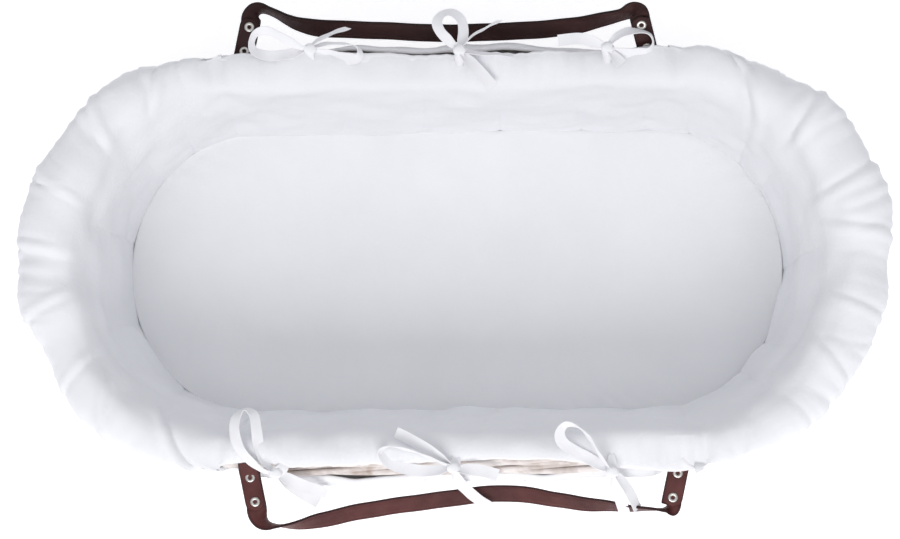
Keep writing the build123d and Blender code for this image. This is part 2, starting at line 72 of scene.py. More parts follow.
# Leather straps.
STRAP_WIDTH, STRAP_THICKNESS, LAYER_GAP = 0.020, 0.0028, 0.0005
LOOP_RADIUS = 0.0104
TAB_START, TAB_END, RUN_START = 0.011, 0.0498, 0.0465
RIVET_PLACES = (0.0173, 0.0415)
STRAP_CORNER = 0.008  # the round of the strap's cut ends
SWAY_START = 0.15  # the strap is straight this far from each end, then sways a little
DARK_EDGE, EDGE_FADE = 0.0016, 0.0012

rng = np.random.default_rng(11)


# --- Camera and light ---------------------------------------------------------------------

CAMERA_PLACE = Vector((0.051, -0.145, 2.361))
CAMERA_LENS = 86.1
CAMERA_ROLL = -0.0112
AIM = Vector((-0.0028, -0.0077, 0.2))


def make_camera():
    camera = bpy.data.objects.new("camera", bpy.data.cameras.new("camera"))
    bpy.context.collection.objects.link(camera)
    camera.data.lens = CAMERA_LENS
    camera.data.sensor_width = 36
    camera.location = CAMERA_PLACE
    ahead = (AIM - CAMERA_PLACE).normalized()
    right = ahead.cross(Vector((0, 1, 0))).normalized()
    turn = Matrix((right, right.cross(ahead), -ahead)).transposed()
    camera.rotation_euler = (turn @ Matrix.Rotation(CAMERA_ROLL, 3, "Z")).to_euler()
    camera.data.clip_end = 50
    bpy.context.scene.camera = camera


def area_light(name, place, target, size, power, colour=(1, 1, 1)):
    light = bpy.data.lights.new(name, "AREA")
    light.shape = "RECTANGLE"
    light.size, light.size_y = size
    light.energy = power
    light.color = colour
    lamp = bpy.data.objects.new(name, light)
    lamp.location = place
    lamp.rotation_euler = (Vector(target) - Vector(place)).to_track_quat("-Z", "Y").to_euler()
    bpy.context.collection.objects.link(lamp)


def make_lights():
    area_light("key", (-0.12, -2.0, 2.2), (0, 0, 0.2), (2.4, 1.4), 43, (1.0, 0.99, 0.985))
    area_light("fill", (0.6, 1.6, 1.9), (0, 0, 0.2), (2.4, 1.6), 2, (0.93, 0.95, 1.0))
    area_light("top", (0.0, -0.2, 2.6), (0, 0, 0.2), (2.4, 1.6), 6, (0.96, 0.97, 1.0))
    world = bpy.data.worlds.new("studio")
    bpy.context.scene.world = world
    world.use_nodes = True
    background = world.node_tree.nodes["Background"]
    background.inputs["Color"].default_value = (0.95, 0.96, 1.0, 1)
    background.inputs["Strength"].default_value = 0.58
    bpy.context.scene.view_settings.view_transform = "Standard"


def make_floor():
    half = 6.0
    mesh = bpy.data.meshes.new("floor")
    mesh.from_pydata([(-half, -half, 0), (half, -half, 0), (half, half, 0), (-half, half, 0)],
                     [], [(0, 1, 2, 3)])
    floor = bpy.data.objects.new("floor", mesh)
    bpy.context.collection.objects.link(floor)
    paper = Material("floor_paper", (0.93, 0.93, 0.94), 0.9)
    paper.shader.inputs["Emission Color"].default_value = (1, 1, 1, 1)
    paper.shader.inputs["Emission Strength"].default_value = 0.45
    mesh.materials.append(paper.material)


# --- Materials ----------------------------------------------------------------------------

class Material:
    """A principled material with short calls for the nodes that the pieces share."""

    def __init__(self, name, colour, roughness, metallic=0.0):
        self.material = bpy.data.materials.new(name)
        self.material.use_nodes = True
        self.nodes = self.material.node_tree.nodes
        self.links = self.material.node_tree.links
        self.shader = self.nodes["Principled BSDF"]
        self.shader.inputs["Base Color"].default_value = (*colour, 1)
        self.shader.inputs["Roughness"].default_value = roughness
        self.shader.inputs["Metallic"].default_value = metallic
        self.place = self.add("ShaderNodeTexCoord").outputs["Object"]

    def add(self, kind, inputs=(), **settings):
        node = self.nodes.new(kind)
        for key, value in settings.items():
            setattr(node, key, value)
        for key, value in dict(inputs).items():
            if isinstance(value, bpy.types.NodeSocket):
                self.links.new(value, node.inputs[key])
            else:
                node.inputs[key].default_value = value
        return node

    def join(self, output, socket):
        self.links.new(output, self.shader.inputs[socket])

    def noise(self, scale, detail=2.0, stretch=(1, 1, 1), distortion=0.0, place=None):
        place = place or self.place
        mapped = self.add("ShaderNodeMapping", {"Vector": place, "Scale": stretch})
        inputs = {"Vector": mapped.outputs[0], "Scale": scale, "Detail": detail,
                  "Distortion": distortion}
        return self.add("ShaderNodeTexNoise", inputs).outputs["Fac"]

    def ramp(self, factor, *stops):
        node = self.add("ShaderNodeValToRGB", {"Fac": factor})
        elements = node.color_ramp.elements
        while len(elements) < len(stops):
            elements.new(0.5)
        for element, (position, colour) in zip(elements, stops):
            element.position = position
            element.color = (*colour, 1) if hasattr(colour, "__len__") else (colour,) * 3 + (1,)
        return node.outputs["Color"]

    def mix(self, factor, a, b, blend_type="MIX"):
        node = self.add("ShaderNodeMix", data_type="RGBA", blend_type=blend_type)
        for socket, value in zip((node.inputs[0], node.inputs[6], node.inputs[7]), (factor, a, b)):
            if isinstance(value, bpy.types.NodeSocket):
                self.links.new(value, socket)
            else:
                socket.default_value = value if not hasattr(value, "__len__") else (*value, 1)
        return node.outputs[2]

    def math(self, operation, a, b=0.0):
        node = self.add("ShaderNodeMath", {0: a, 1: b}, operation=operation)
        return node.outputs[0]

    def attribute(self, name):
        return self.add("ShaderNodeAttribute", attribute_name=name).outputs["Fac"]

    def bump(self, *layers):
        """Bump from (height, distance in metres, strength) layers."""
        normal = None
        for height, distance, strength in layers:
            inputs = {"Height": height, "Distance": distance, "Strength": strength}
            if normal:
                inputs["Normal"] = normal
            normal = self.add("ShaderNodeBump", inputs).outputs["Normal"]
        self.join(normal, "Normal")

    def weave(self, pitch):
        """Threads over and under, as two crossed waves in the piece's own UV, in metres."""
        uv = self.add("ShaderNodeUVMap", uv_map="cloth").outputs["UV"]
        waves = []
        for direction in ("X", "Y"):
            inputs = {"Vector": uv, "Scale": 1 / (pitch * math.pi * 2) * 2}
            wave = self.add("ShaderNodeTexWave", inputs, bands_direction=direction)
            waves.append(wave.outputs["Fac"])
        return self.math("MULTIPLY", *waves)


def cotton(name, colour, crease_scale, crease_strength, sheen=0.25):
    """Plain woven cotton: threads, faint slubs and fine creases."""
    made = Material(name, colour, 0.86)
    soft = made.noise(9.0, 3.0)
    tint = made.ramp(soft, (0.3, tuple(c * 0.965 for c in colour)), (0.7, colour))
    made.join(tint, "Base Color")
    made.join(made.ramp(made.noise(60.0), (0.3, 0.8), (0.7, 0.95)), "Roughness")
    creases = made.noise(crease_scale, 4.0, distortion=0.6)
    wrinkled = made.noise(62.0, 3.0, distortion=1.2)
    crumples = made.math("ABSOLUTE", made.math("SUBTRACT", wrinkled, 0.5))
    slubs = made.noise(420.0, 2.0, stretch=(1, 0.2, 1))
    made.bump((creases, 0.004, crease_strength), (crumples, 0.003, crease_strength * 0.8),
              (made.weave(0.0009), 0.0002, 0.5), (slubs, 0.0003, 0.25))
    made.shader.inputs["Sheen Weight"].default_value = sheen
    made.shader.inputs["Sheen Roughness"].default_value = 0.5
    return made.material


def willow(name, light, dark, wash):
    """Willow rods: each rod its own tone, long grain, and whitewash rubbed thin in places."""
    made = Material(name, light, 0.68)
    tone = made.attribute("tone")
    bark = made.mix(tone, light, dark)
    along = made.add("ShaderNodeUVMap", uv_map="cloth").outputs["UV"]
    grain = made.noise(1.0, 5.0, stretch=(60, 900, 1), place=along)
    bark = made.mix(made.math("MULTIPLY", grain, 0.35), bark, tuple(c * 0.45 for c in dark))
    patches = made.noise(34.0, 4.0, distortion=0.8)
    cover = made.ramp(patches, (0.34, 0.0), (0.56, 1.0))
    made.join(made.mix(made.math("MULTIPLY", cover, 0.85), bark, wash), "Base Color")
    made.join(made.ramp(grain, (0.2, 0.5), (0.8, 0.85)), "Roughness")
    made.bump((grain, 0.0008, 0.5), (made.noise(260.0, 3.0), 0.0006, 0.35))
    return made.material


def leather(name, painted_shade_scale):
    """Waxed brown leather: fine grain, darker burnished edges and rubbed high spots. Every colour
    is scaled by the shade factor, which below 1 is painted shade for a strap turned away from the
    light.
    """
    brown, deep, rubbed = [tuple(c * painted_shade_scale for c in colour) for colour in
                           ((0.098, 0.027, 0.026), (0.030, 0.009, 0.010), (0.150, 0.050, 0.044))]
    made = Material(name, brown, 0.5)
    mottle = made.noise(38.0, 4.0)
    colour = made.mix(made.ramp(mottle, (0.35, 0.0), (0.75, 1.0)), brown, rubbed)
    colour = made.mix(made.ramp(made.noise(9.0, 2.0), (0.35, 0.0), (0.7, 0.6)), colour, deep)
    colour = made.mix(made.attribute("edge"), colour, deep)
    made.join(colour, "Base Color")
    inputs = {"Vector": made.place, "Scale": 950.0}
    pores = made.add("ShaderNodeTexVoronoi", inputs, feature="DISTANCE_TO_EDGE")
    grain = made.ramp(pores.outputs["Distance"], (0.0, 0.0), (0.22, 1.0))
    made.join(made.ramp(made.noise(150.0, 3.0), (0.3, 0.40), (0.7, 0.6)), "Roughness")
    made.bump((mottle, 0.0012, 0.35), (grain, 0.00025, 0.45))
    made.shader.inputs["Specular IOR Level"].default_value = 0.22
    return made.material


def nickel(name, colour, roughness):
    """Plated metal with fine scratches and a little dulling."""
    made = Material(name, colour, roughness, 1.0)
    scratches = made.noise(300.0, 3.0, stretch=(1, 12, 1))
    made.join(made.ramp(scratches, (0.3, roughness * 0.7), (0.7, roughness * 1.6)), "Roughness")
    dull = made.noise(120.0, 2.0)
    made.join(made.mix(dull, colour, tuple(c * 0.7 for c in colour)), "Base Color")
    made.bump((scratches, 0.0001, 0.2))
    return made.material


def foam():
    made = Material("foam", (0.86, 0.80, 0.62), 0.95)
    inputs = {"Vector": made.place, "Scale": 700.0}
    cells = made.add("ShaderNodeTexVoronoi", inputs).outputs["Distance"]
    made.join(made.ramp(cells, (0.1, (0.62, 0.56, 0.40)), (0.5, (0.88, 0.82, 0.65))), "Base Color")
    made.bump((cells, 0.001, 0.8))
    return made.material


# --- Mesh helpers -------------------------------------------------------------------------

def new_object(name, points, faces, material, uvs=None, attributes=None, smooth=True):
    """A mesh object from arrays. uvs and attributes are per point."""
    mesh = bpy.data.meshes.new(name)
    mesh.from_pydata(np.asarray(points).tolist(), [], [tuple(map(int, f)) for f in faces])
    if uvs is not None:
        layer = mesh.uv_layers.new(name="cloth")
        corner = np.empty(len(mesh.loops), dtype=np.int32)
        mesh.loops.foreach_get("vertex_index", corner)
        layer.data.foreach_set("uv", np.asarray(uvs, dtype=np.float32)[corner].ravel())
    for key, values in (attributes or {}).items():
        layer = mesh.attributes.new(key, "FLOAT", "POINT")
        layer.data.foreach_set("value", np.asarray(values, dtype=np.float32))
    mesh.polygons.foreach_set("use_smooth", [smooth] * len(mesh.polygons))
    mesh.materials.append(material)
    mesh.update()
    made = bpy.data.objects.new(name, mesh)
    bpy.context.collection.objects.link(made)
    return made


def grid_faces(rows, columns, closed_rows=False, closed_columns=False, keep=None):
    """Quads over a grid of points numbered row by row; keep is a mask over the cells."""
    row_count = rows if closed_rows else rows - 1
    column_count = columns if closed_columns else columns - 1
    i, j = np.meshgrid(np.arange(row_count), np.arange(column_count), indexing="ij")
    down, right = (i + 1) % rows, (j + 1) % columns
    quads = np.stack([i * columns + j, i * columns + right, down * columns + right,
                      down * columns + j], axis=-1)
    return quads[keep] if keep is not None else quads.reshape(-1, 4)


def unit(vectors):
    return vectors / np.maximum(np.linalg.norm(vectors, axis=-1, keepdims=True), 1e-12)


def smooth_through(points, per_span, closed=False):
    """Catmull-Rom through given points, per_span samples each."""
    points = np.asarray(points, dtype=float)
    count = len(points)
    if closed:
        padded = np.concatenate([points[-1:], points, points[:2]])
        spans = count
    else:
        padded = np.concatenate([2 * points[:1] - points[1:2], points,
                                 2 * points[-1:] - points[-2:-1]])
        spans = count - 1
    out = []
    for i in range(spans):
        a, b, c, d = padded[i:i + 4]
        last = not closed and i == spans - 1
        for t in np.linspace(0, 1, per_span + 1)[: None if last else -1]:
            out.append(0.5 * (2 * b + (c - a) * t + (2 * a - 5 * b + 4 * c - d) * t * t
                              + (3 * b - a - 3 * c + d) * t ** 3))
    return np.array(out)


def tube_faces(rings, sides, flipped=False):
    """The faces of a tube with closed ends, its points numbered ring by ring."""
    last = (rings - 1) * sides
    faces = [tuple(f) for f in grid_faces(rings, sides, closed_columns=True)]
    faces += [tuple(range(sides))[::-1], tuple(range(last, last + sides))]
    return [face[::-1] for face in faces] if flipped else faces


def tube(centres, radius, sides, closed=False):
    """Points, faces and UVs of a round tube along centres: a ring, or a rod with closed ends."""
    centres = np.asarray(centres)
    count = len(centres)
    if closed:
        along = np.roll(centres, -1, axis=0) - np.roll(centres, 1, axis=0)
    else:
        along = np.gradient(centres, axis=0)
    along = unit(along)
    up = np.tile([0.0, 0.0, 1.0], (count, 1))
    steep = np.abs(along[:, 2]) > 0.9
    up[steep] = (1.0, 0.0, 0.0)
    side = unit(np.cross(along, up))
    top = np.cross(side, along)
    angle = np.linspace(0, 2 * np.pi, sides, endpoint=False)
    radius = np.broadcast_to(radius, (count,))
    ring = (side[:, None] * np.cos(angle)[None, :, None]
            + top[:, None] * np.sin(angle)[None, :, None])
    points = centres[:, None] + ring * radius[:, None, None]
    uvs = uv_grid(lengths_along(centres), angle[None] * UV_TURN)
    if closed:
        faces = list(grid_faces(count, sides, closed_rows=True, closed_columns=True)[:, ::-1])
    else:
        faces = tube_faces(count, sides, flipped=True)
    return points.reshape(-1, 3), faces, uvs.reshape(-1, 2)


def gather(parts):
    """Joins (points, faces, uvs, tone) parts into one set of arrays."""
    points, faces, uvs, tones = [], [], [], []
    start = 0
    for part_points, part_faces, part_uvs, tone in parts:
        points.append(part_points)
        faces.extend(tuple(int(i) + start for i in face) for face in part_faces)
        uvs.append(part_uvs)
        tones.append(np.full(len(part_points), tone))
        start += len(part_points)
    return np.concatenate(points), faces, np.concatenate(uvs), np.concatenate(tones)


def stand_in(piece, body, slot, *nodes):
    """Attaches a piece to the body it rides and hides the CAD nodes it stands for; slot is not
    used.
    """
    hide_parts(*nodes)
    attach(piece, body)


def rod_piece(name, node, slot, parts, material):
    """A piece of willow on the basket, made of rods that each have a tone of their own."""
    points, faces, uvs, tone = gather(parts)
    piece = new_object(name, points, faces, material, uvs, {"tone": tone})
    stand_in(piece, "basket", slot, node)


def lengths_along(line):
    """The distance of each point from the start of a line."""
    return np.concatenate([[0], np.cumsum(np.linalg.norm(np.diff(line, axis=0), axis=-1))])


def uv_grid(lengths, columns):
    """UVs in metres for a grid of points: distance along a line, then across it."""
    return np.stack(np.broadcast_arrays(lengths[:, None], columns), axis=-1)


# --- The oval wall ------------------------------------------------------------------------

def plan(s):
    """Directions at a distance s round the rim, from the near side's left end.

    Returns p, q, r with x = STRAIGHT * p + reach * q and y = half width * r.
    """
    s = np.mod(s, ROUND_LENGTH)
    side = 2 * STRAIGHT
    ends = (side, side + END_ARC, 2 * side + END_ARC)
    near = s < ends[0]
    right = (s >= ends[0]) & (s < ends[1])
    far = (s >= ends[1]) & (s < ends[2])
    angle = np.where(right, (s - ends[0]) / END_ARC, (s - ends[2]) / END_ARC) * np.pi - np.pi / 2
    p = np.where(near, s / STRAIGHT - 1, np.where(far, 1 - (s - ends[1]) / STRAIGHT,
                                                  np.where(right, 1.0, -1.0)))
    q = np.where(near | far, 0.0, np.where(right, np.cos(angle), -np.cos(angle)))
    r = np.where(near, -1.0, np.where(far, 1.0, np.where(right, np.sin(angle), -np.sin(angle))))
    return p, q, r


def half_length(z):
    return BASE_HALF_LENGTH + (RIM_HALF_LENGTH - BASE_HALF_LENGTH) * z / RIM_END


def half_width(z):
    return BASE_HALF_WIDTH + (RIM_HALF_WIDTH - BASE_HALF_WIDTH) * z / RIM_SIDE


def rim_height(x):
    t = np.clip((np.abs(x) - STRAIGHT) / (RIM_HALF_LENGTH - STRAIGHT), 0, 1)
    return RIM_SIDE + (RIM_END - RIM_SIDE) * t * t * (3 - 2 * t)


def rim_x(s):
    p, q, _ = plan(s)
    return STRAIGHT * p + (RIM_HALF_LENGTH - STRAIGHT) * q


def wall(s, z, offset):
    """Points of the wall's surface at height z, moved outward by an offset."""
    p, q, r = plan(s)
    x = STRAIGHT * p + (half_length(z) + offset - STRAIGHT) * q
    y = (half_width(z) + offset) * r
    return np.stack(np.broadcast_arrays(x, y, z), axis=-1)


def rim_line(count, lift=0.0, offset=0.0):
    """Points along the border's centre line, all round."""
    s = np.linspace(0, ROUND_LENGTH, count, endpoint=False)
    z = rim_height(rim_x(s)) + lift
    return wall(s, z, offset), s


# --- Willow -------------------------------------------------------------------------------

def twisted(centres, strands, radius, rod_radius, turns, sides, start=0.0):
    """Rods laid round each other along a closed line."""
    count = len(centres)
    along = unit(np.roll(centres, -1, axis=0) - np.roll(centres, 1, axis=0))
    side = unit(np.cross(along, [0.0, 0.0, 1.0]))
    top = np.cross(side, along)
    parts = []
    for k in range(strands):
        angle = start + 2 * np.pi * (k / strands + turns * np.arange(count) / count)
        wander = 1 + 0.08 * np.sin(angle * 0.37 + k * 2.1)
        path = centres + (side * np.cos(angle)[:, None] + top * np.sin(angle)[:, None]) \
            * radius * wander[:, None]
        thickness = rod_radius * (0.94 + 0.12 * rng.random())
        parts.append((*tube(path, thickness, sides, closed=True), rng.random()))
    return parts


# The border's lower rope: how far out and down it lies, and how much less and more where tucked in.
ROPE_OUT, ROPE_DROP = (0.0116, 0.008), (0.0085, 0.012)
ROPE_TWIST, ROPE_ROD, ROPE_CLEARANCE = 0.0034, 0.0030, 0.0010


def border_braid(material):
    line, _ = rim_line(720, 0.0, 0.0006)
    parts = twisted(line, 6, BORDER_RADIUS - 0.0026, 0.0030, 7, 8)
    parts += twisted(line, 1, 0.0, 0.0042, 1, 6)
    _, s = rim_line(720)
    tucked = rope_tucked(line)
    (out, in_when_tucked), (drop, down_when_tucked) = ROPE_OUT, ROPE_DROP
    lower = wall(s, rim_height(rim_x(s)) - drop - down_when_tucked * tucked,
                 out - in_when_tucked * tucked)
    parts += twisted(lower, 3, ROPE_TWIST, ROPE_ROD, 8, 8, 1.0)
    rod_piece("border_braid", "border", "willow_thick", parts, material)


def rope_tucked(points):
    """1 where the lower rope is tucked in: at the straps, past the slits and on the far side."""
    beyond = np.clip((np.abs(points[:, 0]) - 0.195) / 0.02, 0, 1)
    return np.maximum.reduce([near_straps(points, ROPE_TUCK), beyond, 1.0 * (points[:, 1] > 0)])


def waling(name, node, material, lifts, offset, rod_radius, level=None):
    """Bands of rods twisted in pairs round the wall."""
    parts = []
    for i, lift in enumerate(lifts):
        if level is None:
            line, _ = rim_line(560, lift, offset)
        else:
            s = np.linspace(0, ROUND_LENGTH, 560, endpoint=False)
            line = wall(s, np.full_like(s, level + lift), offset)
        parts += twisted(line, 3, rod_radius * 0.95, rod_radius, 30 if i % 2 else -30, 7, i * 1.3)
    rod_piece(name, node, "willow", parts, material)


def strap_windows():
    """The places along the rim, as (side, x), where the straps pass through the weaving."""
    return [(handle["side"], x * MM) for handle in HANDLES.values() for x, *_ in handle["ends"]]


def near_straps(points, width):
    """1 at the straps' places, falling to 0 about width away."""
    share = np.zeros(len(points))
    for side, x in strap_windows():
        there = np.sign(points[:, 1]) == side
        share += np.where(there, np.exp(-((points[:, 0] - x) / width) ** 4), 0)
    return share


def in_window(points, half=0.017):
    hit = np.zeros(len(points), dtype=bool)
    for side, x in strap_windows():
        hit |= (np.sign(points[:, 1]) == side) & (np.abs(points[:, 0] - x) < half)
    return hit


def stake_positions():
    """Distances round the rim of the uprights, evenly spaced."""
    return (np.arange(STAKES) + 0.5) * ROUND_LENGTH / STAKES


STAKE_OFFSET = 0.0022
STAKE_RADIUS = 0.0026
WEAVER_RADIUS = 0.0024
ROW_PITCH = 0.0047
WINDOW_ROWS = 4  # the rows of weaving that stop at each side of a strap
FLOOR_PITCH, FLOOR_ROD, FLOOR_WAVE = 0.0052, 0.00255, 0.0011
STICK_PITCH = 0.062


def woven_side(material):
    """Rows of single rods woven in front of one upright and behind the next."""
    steps = 8
    s = np.arange(STAKES * steps) * ROUND_LENGTH / (STAKES * steps)
    swing = np.sin(np.arange(STAKES * steps) * np.pi / steps)
    rows = int((RIM_SIDE - 0.026 - FOOT_HEIGHT) / ROW_PITCH)
    parts = []
    for k in range(rows):
        share = (k + 0.5) / rows
        top = rim_height(rim_x(s)) - 0.023
        z = FOOT_HEIGHT + 0.002 + (top - FOOT_HEIGHT) * share
        z = z + 0.0005 * np.sin(s * 37 + k * 1.7)
        sign = 1 if k % 2 else -1
        line = wall(s, z, STAKE_OFFSET + sign * swing * (STAKE_RADIUS + WEAVER_RADIUS * 0.9))
        radius = WEAVER_RADIUS * (0.9 + 0.2 * rng.random())
        for run in open_runs(line, k, rows):
            parts.append((*tube(line[run], radius, 6, closed=len(run) == len(s)), rng.random()))
    rod_piece("woven_side", "siding", "willow", parts, material)


def open_runs(line, row, rows):
    """The stretches of a row between the strap windows; low rows go all the way round."""
    hit = in_window(line)
    if row < rows - WINDOW_ROWS or not hit.any():
        return [np.arange(len(line))]
    order = np.roll(np.arange(len(line)), -np.flatnonzero(hit)[0])
    runs = np.split(order, np.flatnonzero(np.diff(hit[order])) + 1)
    return [run for run in runs if not hit[run[0]] and len(run) > 2]


def uprights(material):
    """The stakes, from the foot to the border."""
    parts = []
    for s in stake_positions():
        place = np.full(24, s)
        top = float(rim_height(rim_x(np.array([s])))[0]) - BORDER_RADIUS + 0.002
        z = np.linspace(0.006, top, 24)
        line = wall(place, z, STAKE_OFFSET)
        if in_window(line)[0]:
            line = line[z < RIM_SIDE - 0.030]
        taper = np.linspace(1.05, 0.85, len(line))
        parts.append((*tube(line, STAKE_RADIUS * taper, 8), rng.random()))
    rod_piece("uprights", "side_stakes", "willow_thick", parts, material)


def woven_floor(material):
    """The floor's rods, woven lengthways over and under the crosswise sticks."""
    low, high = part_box("base_weave")
    rows = int((high.y - low.y) / FLOOR_PITCH)
    parts = []
    for k in range(rows):
        y = low.y + (k + 0.5) * (high.y - low.y) / rows
        over = math.sqrt(max(0.0, 1 - (y / (high.y)) ** 2))
        reach = STRAIGHT + (high.x - STRAIGHT) * over
        x = np.arange(-reach, reach + 0.004, FLOOR_PITCH)
        wave = np.cos(x / STICK_PITCH * np.pi) * (1 if k % 2 else -1)
        z = (low.z + high.z) / 2 + wave * FLOOR_WAVE
        line = np.stack([x, np.full_like(x, y), z], axis=-1)
        parts.append((*tube(line, FLOOR_ROD, 6), rng.random()))
    rod_piece("woven_floor", "base_weave", "willow", parts, material)


# --- Liner --------------------------------------------------------------------------------

# The liner's profile, bottom inside to hem outside. A station holds the offset from the wall,
# the share of the rim's height and the height added to it; first at an end, then at a side.
PROFILE = (
    ((-0.0235, 0.0, 0.030), (-0.0235, 0.0, 0.030)),
    ((-0.0262, 0.0, 0.058), (-0.0262, 0.0, 0.058)),
    ((-0.0310, 0.3, 0.030), (-0.0295, 0.3, 0.030)),
    ((-0.0330, 0.7, 0.012), (-0.0300, 0.7, 0.012)),
    ((-0.0290, 1.0, -0.006), (-0.0270, 1.0, -0.010)),
    ((-0.0190, 1.0, 0.0130), (-0.0200, 1.0, 0.0085)),
    ((-0.0040, 1.0, 0.0185), (-0.0085, 1.0, 0.0130)),
    ((0.0120, 1.0, 0.0150), (0.0150, 1.0, -0.0145)),
    ((0.0215, 1.0, 0.0010), (0.0215, 1.0, -0.0210)),
    ((0.0245, 1.0, -0.0250), (0.0230, 1.0, -0.0380)),
    ((0.0240, 0.6, 0.0200), (0.0220, 0.6, 0.0180)),
    ((0.0215, 0.0, 0.1300), (0.0200, 0.0, 0.1300)),
    ((0.0180, 0.0, 0.1140), (0.0170, 0.0, 0.1140)),
)
FLAP_STATION, PANEL_STATION, SEAM_STATION = 6, 7, 8
ROWS_PER_STATION, UNDER_TAPE_ROWS = 8, 12
AROUND = 740
PAD_CLOTH, SKIRT_CLOTH = 0.0022, 0.0010

# The flap's lips: how far each reaches to the sides of its strap, the share that marks its edge,
# and where it starts and stops turning, out from the border.
LIP_HALF_WIDTH = 0.0165
LIP_EDGE = 0.37
LIP_TURN = (-0.014, 0.004)

# How far along the rim the rope is tucked, and the flap raised, on each side of a strap.
ROPE_TUCK, FLAP_RAISE = 0.020, 0.024

# The hem's creases, from wide to fine: height, how many there are round the rim, width, reach
# inwards and the seed of their draws.
CREASES = (
    (0.0013, 100, 0.0048, 1.0, 5),
    (0.0009, 170, 0.0028, 0.6, 6),
    (0.0005, 260, 0.0018, 0.4, 7),
)
PADDING = ((0.0030, 0.105, 3), (0.0014, 0.042, 4))
SAG = 0.0048
PUCKER, PUCKER_PITCH = 0.0009, 0.0135

# How much further the skirt stands out round each end, in millimetres: from the near side's
# end of the curve to the far side's, at even steps.
SPREAD_RIGHT = (-7, -9, -6, -2, -2, -1, 0, 2, 4, 6, 4, -4, -7, -7)
SPREAD_LEFT = (-7, -7, -6, -5, -3, -2, 3, 6, 4, 2, 2, -2, -7, -9)

# The sharp folds of the liner's ends. Each runs from one place on the liner to another, a place
# being the distance round the rim from the middle of that end's curve, in metres, and the row,
# in stations. Then come its width and its height in metres.
FOLDS = (
    ("left", -0.265, 7.6, -0.190, 3.6, 0.0054, 0.0034),
    ("left", -0.185, 8.0, -0.130, 4.4, 0.0043, 0.0028),
    ("left", -0.120, 8.2, -0.100, 4.0, 0.0036, 0.0018),
    ("left", -0.050, 8.2, -0.030, 4.6, 0.0036, 0.0019),
    ("left", 0.020, 8.2, 0.012, 4.2, 0.0040, 0.0021),
    ("left", 0.085, 8.2, 0.070, 4.4, 0.0035, 0.0018),
    ("left", 0.165, 8.2, 0.140, 4.0, 0.0043, 0.0023),
    ("left", 0.240, 7.8, 0.205, 4.2, 0.0043, 0.0021),
    ("right", -0.245, 7.8, -0.215, 4.0, 0.0043, 0.0019),
    ("right", -0.130, 8.2, -0.105, 4.4, 0.0040, 0.0021),
    ("right", -0.060, 8.2, -0.050, 4.6, 0.0032, 0.0016),
    ("right", 0.010, 8.2, 0.030, 4.0, 0.0043, 0.0024),
    ("right", 0.075, 8.2, 0.060, 3.8, 0.0040, 0.0023),
    ("right", 0.150, 7.8, 0.130, 3.6, 0.0043, 0.0029),
    ("right", 0.235, 7.4, 0.170, 3.0, 0.0050, 0.0029),
)


# The slits' edges, in millimetres, for the near and the far side: a place along x, then how far
# out from the border line the liner's flap and the skirt's panel stop there.
SLITS = {
    -1: ((-232, 5.0, 6.0), (-222, -1.0, 12.0), (-210, -4.5, 16.5), (-198, -5.3, 19.0),
         (-180, -2.0, 20.0), (-160, 2.2, 20.5), (-103, 2.0, 21.5), (-54, 1.0, 20.0),
         (0, 0.8, 20.0), (42, -2.4, 20.6), (84, -1.8, 21.0), (114, 1.0, 19.6),
         (134, 4.0, 18.0), (153, 8.2, 17.0), (183, 10.4, 16.0), (210, 11.6, 15.6),
         (225, 12.0, 15.0), (236, 12.4, 13.4)),
    1: ((-228, 8.0, 9.0), (-212, 7.4, 14.0), (-190, 8.0, 16.5), (-88, 9.2, 17.5),
        (-18, 7.0, 17.0), (63, 5.2, 17.0), (110, 6.6, 17.0), (142, 8.9, 17.0),
        (190, 10.0, 16.5), (207, 10.4, 15.0), (219, 10.8, 11.8)),
}
CLOSING = 0.030


def slit_edges(s):
    """How open the liner is at each place, 0 to 1, and where its two edges are there."""
    _, _, r = plan(s)
    x = rim_x(s)
    share, flap, panel = (np.zeros_like(x) for _ in range(3))
    inside = np.zeros(len(x), dtype=bool)
    for side, places in SLITS.items():
        along, flap_edge, panel_edge = np.array(places, dtype=float).T * MM
        here = (np.sign(r) == side) & (np.abs(r) > 0.85)
        gap = np.minimum(x - along[0], along[-1] - x)
        share = np.where(here, np.clip(1 + gap / CLOSING, 0, 1), share)
        flap = np.where(here, np.interp(x, along, flap_edge), flap)
        panel = np.where(here, np.interp(x, along, panel_edge), panel)
        inside |= here & (gap > 0)
    return share * share * (3 - 2 * share), flap, panel, inside


def spread(s):
    """The skirt's extra distance out at each place round the rim."""
    total = np.zeros_like(s)
    start = 2 * STRAIGHT
    for extra, begin in ((SPREAD_RIGHT, start), (SPREAD_LEFT[::-1], 2 * start + END_ARC)):
        places = begin + np.linspace(0, END_ARC, len(extra))
        places = np.concatenate([[begin - 0.12], places, [begin + END_ARC + 0.12]])
        values = np.concatenate([[0], extra, [0]])
        gap = np.mod(s - places[0], ROUND_LENGTH) + places[0]
        total += np.interp(gap, places, values, left=0, right=0)
    kernel = np.hanning(25) / np.hanning(25).sum()
    return np.convolve(np.concatenate([total[-12:], total, total[:12]]), kernel, "valid") * MM


